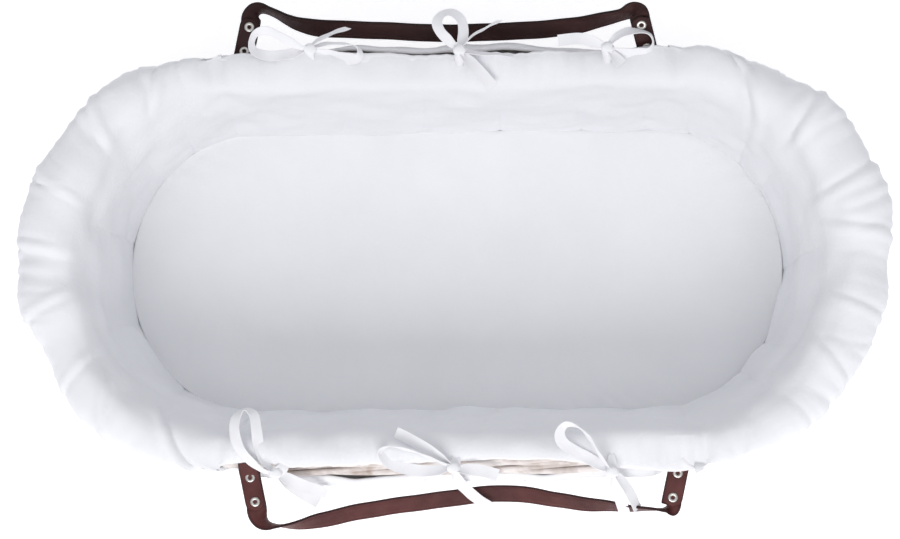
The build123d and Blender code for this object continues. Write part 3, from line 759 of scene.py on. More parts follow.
def liner_points():
    """The liner's surface as rows of offsets and heights, without its creases."""
    s = np.linspace(0, ROUND_LENGTH, AROUND, endpoint=False)
    rim = rim_height(rim_x(s))
    open_share, flap, panel, inside = slit_edges(s)
    extra = spread(s)
    flap_lift = 0.0130 - 50 * np.maximum(flap, 0) ** 2
    over = near_straps(wall(s, rim, 0.0), FLAP_RAISE)
    flap_lift = flap_lift * (1 - over) + 0.0140 * over
    parting = np.clip((panel - flap) / 0.014, 0, 1)
    stations = []
    for index, (end, side) in enumerate(PROFILE):
        side = list(side)
        if index == FLAP_STATION - 1:
            side[2] = side[2] + 0.0055 * over
        elif index == FLAP_STATION:
            side[0], side[2] = flap, flap_lift
        elif index == PANEL_STATION:
            side[0], side[2] = panel, flap_lift * (1 - parting) + side[2] * parting
        elif index > PANEL_STATION:
            side[0] = side[0] + (panel - 0.0150) * (1.0 if index < 10 else 0.6)
        offset, rise, lift = [e * (1 - open_share) + w * open_share for e, w in zip(end, side)]
        if index > FLAP_STATION:
            offset = np.maximum(offset + extra, 0.0105)
        stations.append(np.stack([offset, rise * rim + lift], axis=-1))
    rows = smooth_through(stations, ROWS_PER_STATION)
    return s, rows[..., 0], rows[..., 1], open_share, inside


def round_gap(s, centre):
    """Signed distance round the rim from a place to each s."""
    gap = s[None, :] - np.atleast_1d(centre)[:, None]
    return np.mod(gap + ROUND_LENGTH / 2, ROUND_LENGTH) - ROUND_LENGTH / 2


def crease_field(s, v, count, width, reach, seed):
    """Puckers that start at the hem and die out inwards, each a valley between two swells."""
    local = np.random.default_rng(seed)
    field = np.zeros((len(v), len(s)))
    starts = (np.arange(count) + local.uniform(-0.42, 0.42, count)) * ROUND_LENGTH / count
    near = np.clip((9.0 - v) / 6.0, 0, 1.5)
    for start in starts:
        inward = reach * local.uniform(0.25, 1.3)
        fade = np.clip(1 - near / inward, 0, 1)
        fade = fade * fade * (3 - 2 * fade) * local.uniform(0.3, 1.2)
        centre = start + local.normal(0, 0.014) * near + 0.002 * np.sin(near * 9 + start * 40)
        size = width * local.uniform(0.6, 1.5) * (0.7 + 0.8 * near[:, None])
        t = round_gap(s, centre) / size
        field += fade[:, None] * (0.85 * np.exp(-(np.abs(t) - 1.4) ** 2 * 1.6)
                                  - 1.3 * np.exp(-(t * 1.3) ** 2))
    return field


def fold_field(s, v):
    """The named folds: a ridge with a sharper drop on one side."""
    field = np.zeros((len(v), len(s)))
    middles = {"right": 2 * STRAIGHT + END_ARC / 2, "left": 4 * STRAIGHT + END_ARC * 1.5}
    for end, start, start_row, stop, stop_row, width, height in FOLDS:
        sign = 1 if end == "right" else -1
        share = (v - start_row) / (stop_row - start_row)
        centre = middles[end] + sign * (start + (stop - start) * share)
        fade = np.clip(np.minimum(share + 0.35, 1.15 - share) / 0.45, 0, 1)
        t = round_gap(s, centre) / (width * (1 + 0.6 * np.clip(share, 0, 1)))[:, None]
        ridge = np.exp(-t * t) - 0.75 * np.exp(-((t - 1.5) * 1.25) ** 2)
        field += height * (fade * fade * (3 - 2 * fade))[:, None] * ridge
    return field


def soft_noise(points, scale, seed):
    """Smooth noise from a few random waves, in about -1 to 1."""
    local = np.random.default_rng(seed)
    total = np.zeros(points.shape[:-1])
    for _ in range(14):
        direction = unit(local.normal(size=3))
        frequency = 2 * np.pi / (scale * local.uniform(0.7, 1.6))
        total += np.sin(points @ direction * frequency + local.uniform(0, 2 * np.pi))
    return total / 3.7


def pillows(s, v):
    """The wall's padding, which swells over the mattress's edge between creases in it."""
    local = np.random.default_rng(12)
    cuts = np.cumsum(local.uniform(0.050, 0.125, 60))
    cuts = np.concatenate([[0], cuts[cuts < ROUND_LENGTH - 0.05]])
    widths = np.diff(np.append(cuts, ROUND_LENGTH))
    size = local.uniform(0.35, 1.0, len(cuts))
    field = []
    for level in v:
        slid = np.mod(s + 0.009 * (level - 2) * np.sin(s * 5.3), ROUND_LENGTH)
        index = np.searchsorted(cuts, slid, side="right") - 1
        t = (slid - cuts[index]) / widths[index]
        reach = np.exp(-((level - 1.7) / (0.8 + 0.9 * size[index])) ** 2)
        field.append((np.sin(np.pi * t) ** 0.55 - 0.55) * size[index] * reach)
    return np.array(field)


def slit_puckers(s, v, open_share):
    """Small gathers along the seam of each flap's tape."""
    near = np.exp(-((v - 5.75) / 0.55) ** 2)[:, None]
    ripple = np.sin(s * 2 * np.pi / PUCKER_PITCH + 1.6 * np.sin(s * 31))
    ripple = ripple * (0.6 + 0.4 * np.sin(s * 17))
    return PUCKER * near * (ripple * open_share)[None, :]


def liner_surface():
    """The liner's surface with its padding, creases and folds, and where its slits are open."""
    s, offsets, heights, open_share, inside = liner_points()
    surface = np.stack([wall(s, z, o) for z, o in zip(heights, offsets)])
    v = np.arange(len(surface)) / ROWS_PER_STATION
    across = np.roll(surface, -1, axis=1) - np.roll(surface, 1, axis=1)
    normal = unit(np.cross(np.gradient(surface, axis=0), across))
    outside = 1 - open_share[None, :]
    hem = np.clip((v - 2.6) / 3.0, 0, 1) * np.clip((12.4 - v) / 1.5, 0.35, 1)
    wrinkle = sum(size * crease_field(s, v, *kind) for size, *kind in CREASES)
    wrinkle *= hem[:, None] * (0.18 + 0.82 * outside)
    wrinkle *= (1 - 0.35 * np.exp(-((v - 8.6) / 1.2) ** 2))[:, None]
    fade = np.clip(v - 0.7, 0, 1)[:, None] * np.clip(11.5 - v, 0, 1)[:, None]
    padding = sum(size * soft_noise(surface, *kind) for size, *kind in PADDING)
    height = wrinkle + padding * fade + SAG * pillows(s, v) + fold_field(s, v) * outside
    height += slit_puckers(s, v, open_share)
    surface = surface + normal * height[..., None]
    below = PANEL_STATION * ROWS_PER_STATION + 1
    under_tape = slice(below, below + UNDER_TAPE_ROWS)
    surface[under_tape] = clear_of_border(surface[under_tape])
    return s, surface, inside


def make_liner(quilted, plain):
    """Cuts the liner's surface into the pad, the skirt and the lips beside the straps."""
    s, surface, inside = liner_surface()
    rows = len(surface)
    lengths = lengths_along(surface[:, 0])
    uvs = np.stack(np.broadcast_arrays(s[None, :], lengths[:, None]), axis=-1)
    flap_row, panel_row, seam_row = (station * ROWS_PER_STATION for station in
                                     (FLAP_STATION, PANEL_STATION, SEAM_STATION))
    cells = np.ones((rows - 1, AROUND), dtype=bool)
    cells[flap_row:panel_row, inside & np.roll(inside, -1)] = False
    crest_row = flap_row - ROWS_PER_STATION
    lips = np.zeros_like(cells)
    lips[crest_row:flap_row] = inside & (near_straps(surface[flap_row], LIP_HALF_WIDTH) > LIP_EDGE)
    sides = np.sign(surface[flap_row, :, 1])
    parts = [("liner_pad", 0, seam_row, quilted, PAD_CLOTH, cells & ~lips),
             ("liner_skirt", seam_row, rows - 1, plain, SKIRT_CLOTH, cells)]
    for name, side in (("near", -1), ("far", 1)):
        parts.append((f"liner_lips_{name}", crest_row, flap_row, quilted, PAD_CLOTH,
                      lips & (sides == side)))
    pieces = []
    out = outward(surface, cells)
    for name, first, last, material, thickness, keep in parts:
        faces = grid_faces(last - first + 1, AROUND, closed_columns=True, keep=keep[first:last])
        outer = (surface + out * thickness)[first:last + 1]
        piece = new_object(name, outer.reshape(-1, 3), faces[:, ::-1], material,
                           uvs[first:last + 1].reshape(-1, 2))
        drop_loose(piece)
        thicken(piece, thickness, -1)
        pieces.append(piece)
    return surface, inside, pieces


def clear_of_border(rows):
    """Moves the panels' cloth, under their tapes, outside the border's lower rope and the loops."""
    side = np.sign(rows[..., 1])
    out, up = np.abs(rows[..., 1]) - RIM_HALF_WIDTH, rows[..., 2] - RIM_SIDE
    flat = rows.reshape(-1, 3)
    straps = near_straps(flat, ROPE_TUCK).reshape(side.shape)
    rope_here = 1 - rope_tucked(flat).reshape(side.shape)
    rope = ROPE_TWIST + ROPE_ROD + ROPE_CLEARANCE
    loop = LOOP_RADIUS + STRAP_THICKNESS
    straight = np.clip((STRAIGHT + 0.030 - np.abs(rows[..., 0])) / 0.015, 0, 1)
    for middle_out, middle_up, reach in ((ROPE_OUT[0], -ROPE_DROP[0], rope * rope_here),
                                         (0, 0, loop * straps)):
        least = middle_out + np.sqrt(np.clip(reach ** 2 - (up - middle_up) ** 2, 0, None))
        near = np.abs(up - middle_up) < reach
        out = out + np.clip(least - out, 0, None) * near * straight
    rows = rows.copy()
    rows[..., 1] = side * (RIM_HALF_WIDTH + out)
    return rows


def outward(surface, cells):
    """The way out at each point of a grid that closes round, from the cells that are there."""
    right = np.roll(surface, -1, axis=1)
    facing = unit(np.cross(surface[1:] - right[:-1], right[1:] - surface[:-1])) * cells[..., None]
    facing = facing + np.roll(facing, 1, axis=1)
    total = np.zeros_like(surface)
    total[:-1] += facing
    total[1:] += facing
    return unit(total)


def drop_loose(piece):
    """Takes out the points that no face uses."""
    mesh = bmesh.new()
    mesh.from_mesh(piece.data)
    bmesh.ops.delete(mesh, geom=[v for v in mesh.verts if not v.link_faces], context="VERTS")
    mesh.to_mesh(piece.data)
    mesh.free()


def bend_with_handle(piece, side, start_out, end_out):
    """Bakes a piece's transform into its mesh; side, start_out and end_out are not used."""
    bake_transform(piece)


def finish_liner(pad, skirt, lips_near, lips_far):
    """Hides the CAD nodes that the pad and skirt stand for and puts them on the basket; the lips
    only have their transforms baked.
    """
    for side, lips in ((-1, lips_near), (1, lips_far)):
        bend_with_handle(lips, side, *LIP_TURN)
    stand_in(pad, "basket", "quilted_cotton", "liner_wall", "liner_roll_left", "liner_roll_right",
             "liner_flap_near", "liner_flap_far", "skirt_panel_near", "skirt_panel_far")
    stand_in(skirt, "basket", "cotton", "skirt_left", "skirt_right", "hem_casing", "hem_elastic")


TAPE_SECTION = ((-0.0108, 0.0012), (-0.0070, 0.0022), (-0.0015, 0.0026), (0.0016, 0.0018),
                (0.0026, 0.0), (0.0014, -0.0016), (-0.0020, -0.0018), (-0.0108, -0.0008))


def edge_tape(line, back, first, last):
    """Part of a binding tape folded over a raw edge: line is the edge, back a way in from it."""
    along = unit(np.gradient(line, axis=0))
    out = unit(line - back)
    out = unit(out - along * np.sum(out * along, axis=1)[:, None])
    top = np.cross(along, out)
    away = top[:, 1:2] * np.sign(line[:, 1:2]) + top[:, 2:3]
    top *= np.sign(away)
    place = np.arange(len(line))
    ends = np.clip(np.minimum(place, place[::-1]) / 4, 0.3, 1)
    section = smooth_through(np.array(TAPE_SECTION), 3, closed=True)
    lengths = lengths_along(line)
    waver = (0.0005 * np.sin(lengths * 190) + 0.0004 * np.sin(lengths * 83 + 1.0))[:, None, None]
    reach = section[None, :, :1] * ends[:, None, None]
    lift = section[None, :, 1:] + waver * (section[None, :, :1] < -0.004)
    points = (line[:, None] + out[:, None] * reach + top[:, None] * lift)[first:last]
    uvs = uv_grid(lengths[first:last], np.linspace(0, 0.02, len(section))[None])
    faces = tube_faces(len(points), len(section))
    return points.reshape(-1, 3), faces, uvs.reshape(-1, 2), lengths[last - 1] - lengths[first]


def tape_piece(name, parts, material):
    points, faces, uvs, _ = gather(parts)
    tape = new_object(name, points, faces, material, uvs)
    tape.data.set_sharp_from_angle(angle=SHARP_ANGLE)
    return tape


def make_tapes(surface, inside, material):
    """The slits' tapes. At each strap the flap's tape is a piece of its own."""
    flap_row, panel_row = FLAP_STATION * ROWS_PER_STATION, PANEL_STATION * ROWS_PER_STATION
    for name, side in (("near", -1), ("far", 1)):
        columns = np.flatnonzero(inside & (np.sign(surface[0, :, 1]) == side))
        columns = columns[np.argsort(surface[0, columns, 0])]
        line, back = surface[flap_row, columns], surface[flap_row - 6, columns]
        lip = near_straps(line, LIP_HALF_WIDTH) > LIP_EDGE
        cuts = np.concatenate([[0], np.flatnonzero(np.diff(lip)) + 1, [len(line) - 1]])
        runs = [(first, last + 1) for first, last in zip(cuts[:-1], cuts[1:]) if last > first + 1]
        fixed, turning = [[edge_tape(line, back, *run) for run in runs if lip[run[0] + 1] == turns]
                          for turns in (False, True)]
        flap = tape_piece(f"edge_tape_flap_{name}", fixed, material)
        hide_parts(f"flap_binding_{name}")
        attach(flap, "basket")
        bend_with_handle(tape_piece(f"edge_tape_lips_{name}", turning, material), side, *LIP_TURN)
        line, back = surface[panel_row, columns], surface[panel_row + 6, columns]
        whole = edge_tape(line, back, 0, len(line))
        panel = tape_piece(f"edge_tape_panel_{name}", [whole], material)
        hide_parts(f"panel_binding_{name}")
        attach(panel, "basket")


# --- Mattress -----------------------------------------------------------------------------

MATTRESS_AROUND = 440
CROWN = 0.0030


def mattress_outline(reach, half_y, shares):
    """Points on the mattress's oval: the right half, then the same turned half round."""
    straight = 2 * STRAIGHT
    curve = math.pi * math.sqrt((reach ** 2 + half_y ** 2) / 2)
    half_round = straight + curve
    outline = []
    for share in shares:
        turned, d = divmod(share * 2 * half_round, half_round)
        if d < straight:
            x, y = d - STRAIGHT, -half_y
        else:
            a = (d - straight) / curve * math.pi - math.pi / 2
            x, y = STRAIGHT + reach * math.cos(a), half_y * math.sin(a)
        outline.append((-x, -y) if turned else (x, y))
    return np.array(outline)


def make_mattress(material):
    """The sheeted mattress: a crowned closed form with soft swells and small pulls at its edge."""
    low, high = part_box("mattress_sheet")
    bottom, top = low.z, high.z
    angle = np.linspace(0, 2 * np.pi, MATTRESS_AROUND, endpoint=False)
    outline = mattress_outline(high.x - STRAIGHT, high.y, angle / (2 * np.pi))
    rings = []
    shares = np.concatenate([np.linspace(0.02, 0.94, 60), [0.955, 0.97, 0.983, 0.993, 0.998]])
    for share in shares:
        rings.append((share, top + CROWN * (1 - share ** 6)))
    for turn in np.linspace(0.15, 1, 6):
        rings.append((1.0, top - 0.003 - (top - bottom - 0.006) * turn))
    for share in (0.99, 0.97, 0.93, 0.85, 0.7, 0.5, 0.25, 0.02):
        rings.append((share, bottom + 0.0004))
    points = np.array([[(x * k, y * k, z) for x, y in outline] for k, z in rings])
    upper = len(shares)
    top_side = points[:upper]
    edge_fade = np.clip((1 - shares) / 0.02, 0, 1)[:, None]
    swell = 0.0009 * soft_noise(top_side, 0.16, 21) + 0.0004 * soft_noise(top_side, 0.05, 22)
    pulls = np.sin(angle * 57 + 2.0 * np.sin(angle * 9)) * np.clip(np.sin(angle * 5 + 1), 0, 1)
    reach = np.exp(-((1 - shares) / 0.10) ** 2)[:, None]
    points[:upper, :, 2] += edge_fade * (swell + 0.0005 * reach * pulls[None, :])
    faces = tube_faces(len(rings), len(outline), flipped=True)
    uvs = points[..., :2].reshape(-1, 2)
    mattress = new_object("sheeted_mattress", points.reshape(-1, 3), faces, material, uvs)
    stand_in(mattress, "mattress", "sheet_cotton", "mattress_sheet")


# --- Handles ------------------------------------------------------------------------------

# The straps, as the CAD has them, in millimetres: the place of each end along the rim, its tab's
# angle and lean, then the strap's upper and lower edge, each as x, out from the border and up.
HANDLES = {
    "near": {
        "side": -1,
        "ends": ((-204.2, 0.0, 0.198), (222.1, -6.0, -0.215)),
        "stations": (
            ((-206.3, 53.1, 0.5), (-187.1, 49.5, -3.7)),
            ((-203.8, 59.3, 1.6), (-186.9, 52.5, -6.7)),
            ((-199.0, 64.0, 2.6), (-186.5, 56.0, -10.8)),
            ((-192.0, 66.8, 2.6), (-185.2, 60.5, -15.1)),
            ((-183.5, 67.0, 1.0), (-181.5, 64.5, -18.7)),
            ((-172.0, 65.0, -3.0), (-170.5, 67.2, -22.8)),
            ((-155.0, 60.5, -10.0), (-152.5, 70.0, -27.4)),
            ((-135.5, 54.0, -17.4), (-133.0, 68.6, -30.8)),
            ((-103.0, 46.5, -25.5), (-101.5, 62.8, -37.0)),
            ((-66.0, 41.2, -31.3), (-65.0, 57.7, -42.6)),
            ((-26.0, 35.8, -36.5), (-25.3, 52.6, -47.3)),
            ((20.0, 30.8, -39.7), (20.5, 47.5, -50.7)),
            ((50.0, 29.3, -39.7), (50.0, 46.1, -50.5)),
            ((78.0, 31.6, -36.3), (76.8, 47.9, -47.8)),
            ((102.0, 36.5, -30.6), (100.0, 51.2, -44.0)),
            ((126.0, 41.0, -23.6), (124.5, 55.0, -37.8)),
            ((149.0, 44.5, -15.0), (148.5, 55.5, -31.7)),
            ((169.0, 48.0, -8.5), (168.6, 55.0, -27.2)),
            ((184.5, 50.5, -4.0), (184.5, 54.0, -23.7)),
            ((197.0, 52.5, -1.5), (196.5, 54.0, -21.5)),
            ((207.3, 54.5, -0.6), (204.5, 53.5, -20.4)),
            ((214.0, 55.8, -1.4), (206.5, 52.3, -19.6)),
            ((219.0, 55.0, -2.4), (206.6, 50.6, -17.4)),
            ((222.6, 52.3, -3.4), (205.8, 48.7, -13.6)),
        ),
    },
    "far": {
        "side": 1,
        "ends": ((-207.6, 10.0, 0.231), (198.4, 32.0, -0.25)),
        "stations": (
            ((-208.4, 52.3, 9.0), (-189.4, 48.2, 4.6)),
            ((-205.4, 57.4, 10.9), (-189.2, 50.2, 1.6)),
            ((-200.2, 61.3, 11.8), (-189.2, 53.0, -2.7)),
            ((-193.0, 62.5, 11.5), (-188.0, 56.0, -6.7)),
            ((-184.5, 61.0, 9.5), (-184.0, 57.0, -10.1)),
            ((-173.5, 57.5, 6.0), (-174.0, 53.0, -13.5)),
            ((-163.0, 54.0, 2.0), (-164.0, 46.8, -16.6)),
            ((-151.5, 51.5, -2.8), (-153.0, 40.7, -19.6)),
            ((-137.0, 50.6, -6.9), (-138.0, 36.0, -20.5)),
            ((-119.0, 50.2, -10.8), (-120.0, 34.7, -23.4)),
            ((-71.0, 48.2, -16.5), (-71.8, 32.8, -29.2)),
            ((-14.6, 46.1, -21.0), (-15.0, 30.1, -33.0)),
            ((14.4, 45.8, -22.2), (14.0, 29.7, -34.0)),
            ((50.6, 46.1, -20.2), (50.4, 30.2, -32.3)),
            ((91.0, 47.0, -14.8), (90.8, 31.1, -27.0)),
            ((126.0, 47.5, -5.0), (124.8, 33.5, -19.2)),
            ((145.0, 48.7, 3.0), (144.0, 37.5, -13.5)),
            ((159.0, 50.0, 9.5), (157.5, 40.5, -8.0)),
            ((171.0, 51.2, 16.0), (168.8, 43.8, -2.4)),
            ((180.0, 52.0, 21.0), (175.5, 45.5, 2.6)),
            ((187.5, 52.4, 25.2), (178.7, 44.8, 8.9)),
            ((193.8, 51.2, 27.6), (179.7, 43.2, 15.9)),
            ((197.6, 47.6, 27.8), (179.7, 42.0, 20.8)),
        ),
    },
}


def tab_axes(side, x, tilt):
    """Origin, outward direction and upward direction of a strap's tab."""
    tilt = math.radians(tilt)
    origin = np.array([x * MM, side * RIM_HALF_WIDTH, RIM_SIDE])
    out = np.array([0.0, side * math.cos(tilt), math.sin(tilt)])
    up = np.array([0.0, -side * math.sin(tilt), math.cos(tilt)])
    return origin, out, up


def tab_point(side, end, along, height):
    """Points on a tab's middle line, which leans along the rim as it goes out."""
    x, tilt, lean = end
    origin, out, up = tab_axes(side, x, tilt)
    along, height = np.atleast_1d(along)[:, None], np.atleast_1d(height)[:, None]
    shift = lean * np.maximum(0, along - TAB_START) * np.array([1.0, 0.0, 0.0])
    return origin + along * out + height * up + shift


def tab_path(side, end):
    """The tab's centre line from its free end, over and round the border, to its lower end."""
    half = (STRAP_THICKNESS + LAYER_GAP) / 2
    turn = math.acos(LOOP_RADIUS / math.hypot(TAB_START, half)) + math.atan2(half, TAB_START)
    top = np.linspace(TAB_END, TAB_START + 0.004, 24)
    bottom = np.linspace(TAB_START + 0.004, RUN_START, 16)
    arc = np.linspace(turn + 0.25, 2 * math.pi - turn - 0.25, 40)
    along = np.concatenate([top, LOOP_RADIUS * np.cos(arc), bottom])
    height = np.concatenate([np.full(24, half), LOOP_RADIUS * np.sin(arc), np.full(16, -half)])
    for _ in range(3):
        for line in (along, height):
            line[1:-1] = (line[:-2] + 2 * line[1:-1] + line[2:]) / 4
    return tab_point(side, end, along, height)


def strap_rails(handle):
    """The whole strap's centre line and the direction across it, from free end to free end."""
    side, (first, second) = handle["side"], handle["ends"]
    rails = []
    for upper, lower in handle["stations"]:
        rails.append([np.array([x, side * (RIM_HALF_WIDTH / MM + out), RIM_SIDE / MM + up]) * MM
                      for x, out, up in (upper, lower)])
    half = np.array([STRAP_WIDTH / 2, 0, 0])
    start, end = tab_path(side, first), tab_path(side, second)
    knots = [[start[-1] - half, start[-1] + half]] + rails + [[end[-1] + half, end[-1] - half]]
    run = smooth_through(np.array(knots).reshape(len(knots), 6), 8).reshape(-1, 2, 3)
    run_centre, run_across = run.mean(axis=1), unit(run[:, 1] - run[:, 0])
    centre = np.concatenate([start[:-1], run_centre, end[::-1][1:]])
    across = np.concatenate([np.tile([1.0, 0, 0], (len(start) - 1, 1)), run_across,
                             np.tile([-1.0, 0, 0], (len(end) - 1, 1))])
    return centre, across


def strap_section():
    """The strap's cross-section: rounded edges and a pressed line beside each."""
    half, thick = STRAP_WIDTH / 2, STRAP_THICKNESS / 2
    top = [(-half, 0.0), (-half + 0.0003, thick * 0.62), (-half + 0.0011, thick),
           (-half + 0.0022, thick), (-half + 0.0027, thick - 0.00035), (-half + 0.0032, thick),
           (-half + 0.006, thick), (0.0, thick)]
    mirrored = [(-x, z) for x, z in top[-2::-1]]
    upper = top + mirrored
    lower = [(x, -z) for x, z in upper[-2:0:-1]]
    return np.array(upper + lower)


def make_strap(name, handle, material):
    centre, across = strap_rails(handle)
    along = unit(np.gradient(centre, axis=0))
    across = unit(across - along * np.sum(across * along, axis=1, keepdims=True))
    normal = np.cross(across, along)
    section = strap_section()
    lengths = lengths_along(centre)
    from_end = np.minimum(lengths, lengths[-1] - lengths)
    short = np.maximum(0, STRAP_CORNER - from_end)
    inset = STRAP_CORNER - np.sqrt(np.maximum(0, STRAP_CORNER ** 2 - short ** 2))
    scale = (1 - inset / (STRAP_WIDTH / 2))[:, None, None]
    sway = 0.0004 * np.sin(lengths * 61) + 0.0003 * np.sin(lengths * 143 + 1)
    sway = (sway * (from_end > SWAY_START))[:, None, None]
    points = centre[:, None] + across[:, None] * (section[None, :, :1] * scale) \
        + normal[:, None] * (section[None, :, 1:] + sway)
    edge = np.clip((np.abs(section[:, 0]) - (STRAP_WIDTH / 2 - DARK_EDGE)) / EDGE_FADE, 0, 1)
    edge = np.broadcast_to(edge[None], points.shape[:2]).ravel()
    uvs = uv_grid(lengths, section[None, :, 0])
    faces = tube_faces(len(centre), len(section))
    strap = new_object(f"leather_strap_{name}", points.reshape(-1, 3), faces, material,
                       uvs.reshape(-1, 2), {"edge": edge})
    stand_in(strap, f"{name}_handle", "leather", f"strap_{name}")


def lathe(profile, origin, axis, count=40):
    """Points and quads of a closed profile of (radius, height) turned about an axis."""
    axis = unit(np.asarray(axis))
    side = unit(np.cross(axis, [1.0, 0.0, 0.0]))
    other = np.cross(axis, side)
    angle = np.linspace(0, 2 * np.pi, count, endpoint=False)
    ring = side * np.cos(angle)[:, None] + other * np.sin(angle)[:, None]
    profile = np.asarray(profile)
    points = origin + ring[:, None] * profile[None, :, :1] + axis * profile[None, :, 1:]
    faces = grid_faces(count, len(profile), closed_rows=True, closed_columns=True)
    return points.reshape(-1, 3), list(faces)


RIVET_PROFILE = ((1.7, -5.0), (1.75, 3.2), (2.05, 3.85), (2.7, 4.2), (3.6, 4.28), (4.4, 4.05),
                 (4.9, 3.6), (5.0, 3.25), (4.8, 3.1), (2.4, 3.08), (2.35, -3.9), (3.3, -3.95),
                 (3.7, -4.3), (3.6, -4.75), (2.9, -5.05), (2.1, -5.2))


def make_rivets(name, handle, material):
    parts = []
    for end in handle["ends"]:
        _, _, up = tab_axes(handle["side"], *end[:2])
        for place in RIVET_PLACES:
            middle = tab_point(handle["side"], end, place, 0.0)[0]
            points, faces = lathe(np.array(RIVET_PROFILE) * MM, middle, up)
            parts.append((points, faces, np.zeros((len(points), 2)), 0.0))
    points, faces, uvs, _ = gather(parts)
    rivets = new_object(f"tubular_rivets_{name}", points, faces, material, uvs)
    stand_in(rivets, f"{name}_handle", "nickel", f"rivets_{name}")


# --- Ties ---------------------------------------------------------------------------------

# Each bow's tapes, in millimetres: points along a tape as x, out from the border and up from
# it, with the tape's turn about its own line in degrees (0 lies flat, 90 stands on edge).
TAPE_WIDTH, TAPE_THICKNESS = 0.0115, 0.0006
KNOT_SIZE = (0.0062, 0.0052, 0.0046)
BOWS = {
    "near_left": (-1, (
        ("loop", ((-177, 13, 18, 70), (-189, 9, 24, 60), (-202, -2, 28, 40), (-211, -14, 29, 25),
                  (-215, -28, 28, 20), (-214, -41, 26, 40), (-206, -50, 24, 75),
                  (-197, -45, 24, 50), (-194, -30, 25, 30), (-192, -14, 24, 30),
                  (-187, 1, 21, 50), (-178, 12, 17, 70))),
        ("tail", ((-177, 12, 17, 40), (-163, 19, 15, 10), (-147, 27, 5, 0), (-128, 34, -13, -10))),
        ("tail", ((-176, 13, 15, 40), (-166, 22, 10, 20), (-153, 33, -3, 10), (-137, 44, -20, 0))),
        ("stay", ((-167, -4, 13, 0), (-167, 3, 16, 0), (-170, 9, 18, 20), (-175, 12, 17, 40))),
    )),
    "near_middle": (-1, (
        ("loop", ((-2, 8, 18, 70), (-17, 2, 23, 75), (-36, -6, 26, 80), (-54, -11, 26, 80),
                  (-67, -12, 24, 85), (-72, -6, 21, 60), (-65, 3, 18, 25), (-51, 9, 17, 10),
                  (-34, 12, 16, 10), (-17, 12, 16, 30), (-2, 10, 17, 60))),
        ("tail", ((-3, 7, 18, 60), (-15, -2, 22, 30), (-29, -11, 22, 15), (-43, -19, 20, 10),
                  (-57, -26, 17, 10))),
        ("tail", ((-1, 11, 17, 40), (15, 11, 19, 10), (29, 13, 17, 0), (43, 17, 13, 0))),
        ("over", ((-1, 12, 15, 30), (3, 22, 3, 0), (10, 31, -20, -10), (20, 41, -36, -20),
                  (34, 51, -44, -20))),
        ("stay", ((2, -4, 13, 0), (2, 1, 15, 0), (1, 6, 17, 20), (0, 10, 17, 40))),
    )),
    "near_right": (-1, (
        ("loop", ((154, 13, 18, 70), (148, 5, 23, 80), (140, -7, 28, 80), (132, -20, 30, 80),
                  (121, -30, 28, 80), (110, -32, 26, 60), (104, -24, 23, 30), (107, -14, 20, 10),
                  (118, -6, 18, 5), (133, 2, 17, 10), (146, 10, 17, 30), (154, 14, 16, 60))),
        ("over", ((155, 16, 16, 30), (159, 30, 9, 0), (164, 44, -2, -10), (168, 55, -16, -30),
                  (173, 65, -34, -40))),
        ("over", ((157, 16, 16, 40), (167, 27, 10, 30), (175, 40, 3, 30), (181, 53, -8, 40))),
        ("stay", ((155, -2, 13, 0), (155, 5, 15, 0), (155, 10, 17, 20), (155, 14, 17, 40))),
    )),
    "far_left": (1, (
        ("loop", ((-141, 16, 18, 70), (-149, 18, 23, 60), (-158, 22, 27, 50), (-169, 28, 29, 50),
                  (-181, 33, 29, 50), (-192, 31, 27, 60), (-197, 22, 23, 70), (-194, 14, 20, 40),
                  (-181, 10, 18, 15), (-164, 11, 17, 15), (-149, 14, 17, 30), (-141, 15, 17, 60))),
        ("loop", ((-137, 17, 17, 60), (-123, 20, 20, 60), (-107, 20, 22, 70), (-94, 18, 21, 80),
                  (-90, 11, 18, 60), (-95, 6, 16, 20), (-109, 7, 15, 10), (-124, 11, 15, 20),
                  (-136, 15, 16, 50))),
        ("over", ((-139, 18, 17, 50), (-131, 25, 14, 60), (-118, 33, 8, 60), (-102, 40, -1, 60))),
        ("stay", ((-140, -2, 13, 0), (-140, 5, 15, 0), (-140, 10, 17, 20), (-140, 14, 17, 40))),
    )),
    "far_middle": (1, (
        ("over", ((9, 14, 17, 50), (-1, 23, 18, 35), (-9, 32, 18, 30), (-12, 42, 16, 30),
                  (-6, 50, 14, 40), (4, 51, 12, 40), (12, 44, 12, 30), (14, 32, 13, 30),
                  (12, 21, 15, 40), (11, 14, 17, 60))),
        ("over", ((11, 15, 17, 60), (19, 24, 14, 70), (31, 34, 4, 70), (51, 46, -6, 70))),
        ("tail", ((12, 12, 17, 40), (27, 9, 18, 60), (43, 8, 17, 70), (63, 6, 15, 75))),
        ("tail", ((11, 10, 17, 40), (20, 1, 21, 10), (31, -11, 22, 5), (43, -25, 19, 0))),
        ("stay", ((10, -3, 13, 0), (10, 2, 15, 0), (10, 7, 17, 20), (10, 11, 17, 40))),
    )),
    "far_right": (1, (
        ("loop", ((158, 14, 18, 60), (165, 22, 22, 40), (175, 27, 25, 40), (187, 28, 26, 50),
                  (198, 25, 25, 70), (202, 17, 23, 80), (198, 9, 21, 60), (186, 7, 18, 40),
                  (172, 8, 17, 40), (160, 12, 17, 60))),
        ("tail", ((156, 14, 17, 50), (145, 18, 19, 20), (129, 22, 20, 5), (108, 21, 16, 0))),
        ("tail", ((158, 12, 17, 40), (163, 5, 19, 20), (171, -4, 19, 10))),
        ("stay", ((157, -2, 13, 0), (157, 4, 15, 0), (157, 9, 17, 20), (157, 12, 17, 40))),
    )),
}
KNOTS = {"near_left": (-176, 13, 17), "near_middle": (-1, 9, 17), "near_right": (155, 15, 17),
         "far_left": (-139, 16, 17), "far_middle": (10, 13, 17), "far_right": (157, 13, 17)}


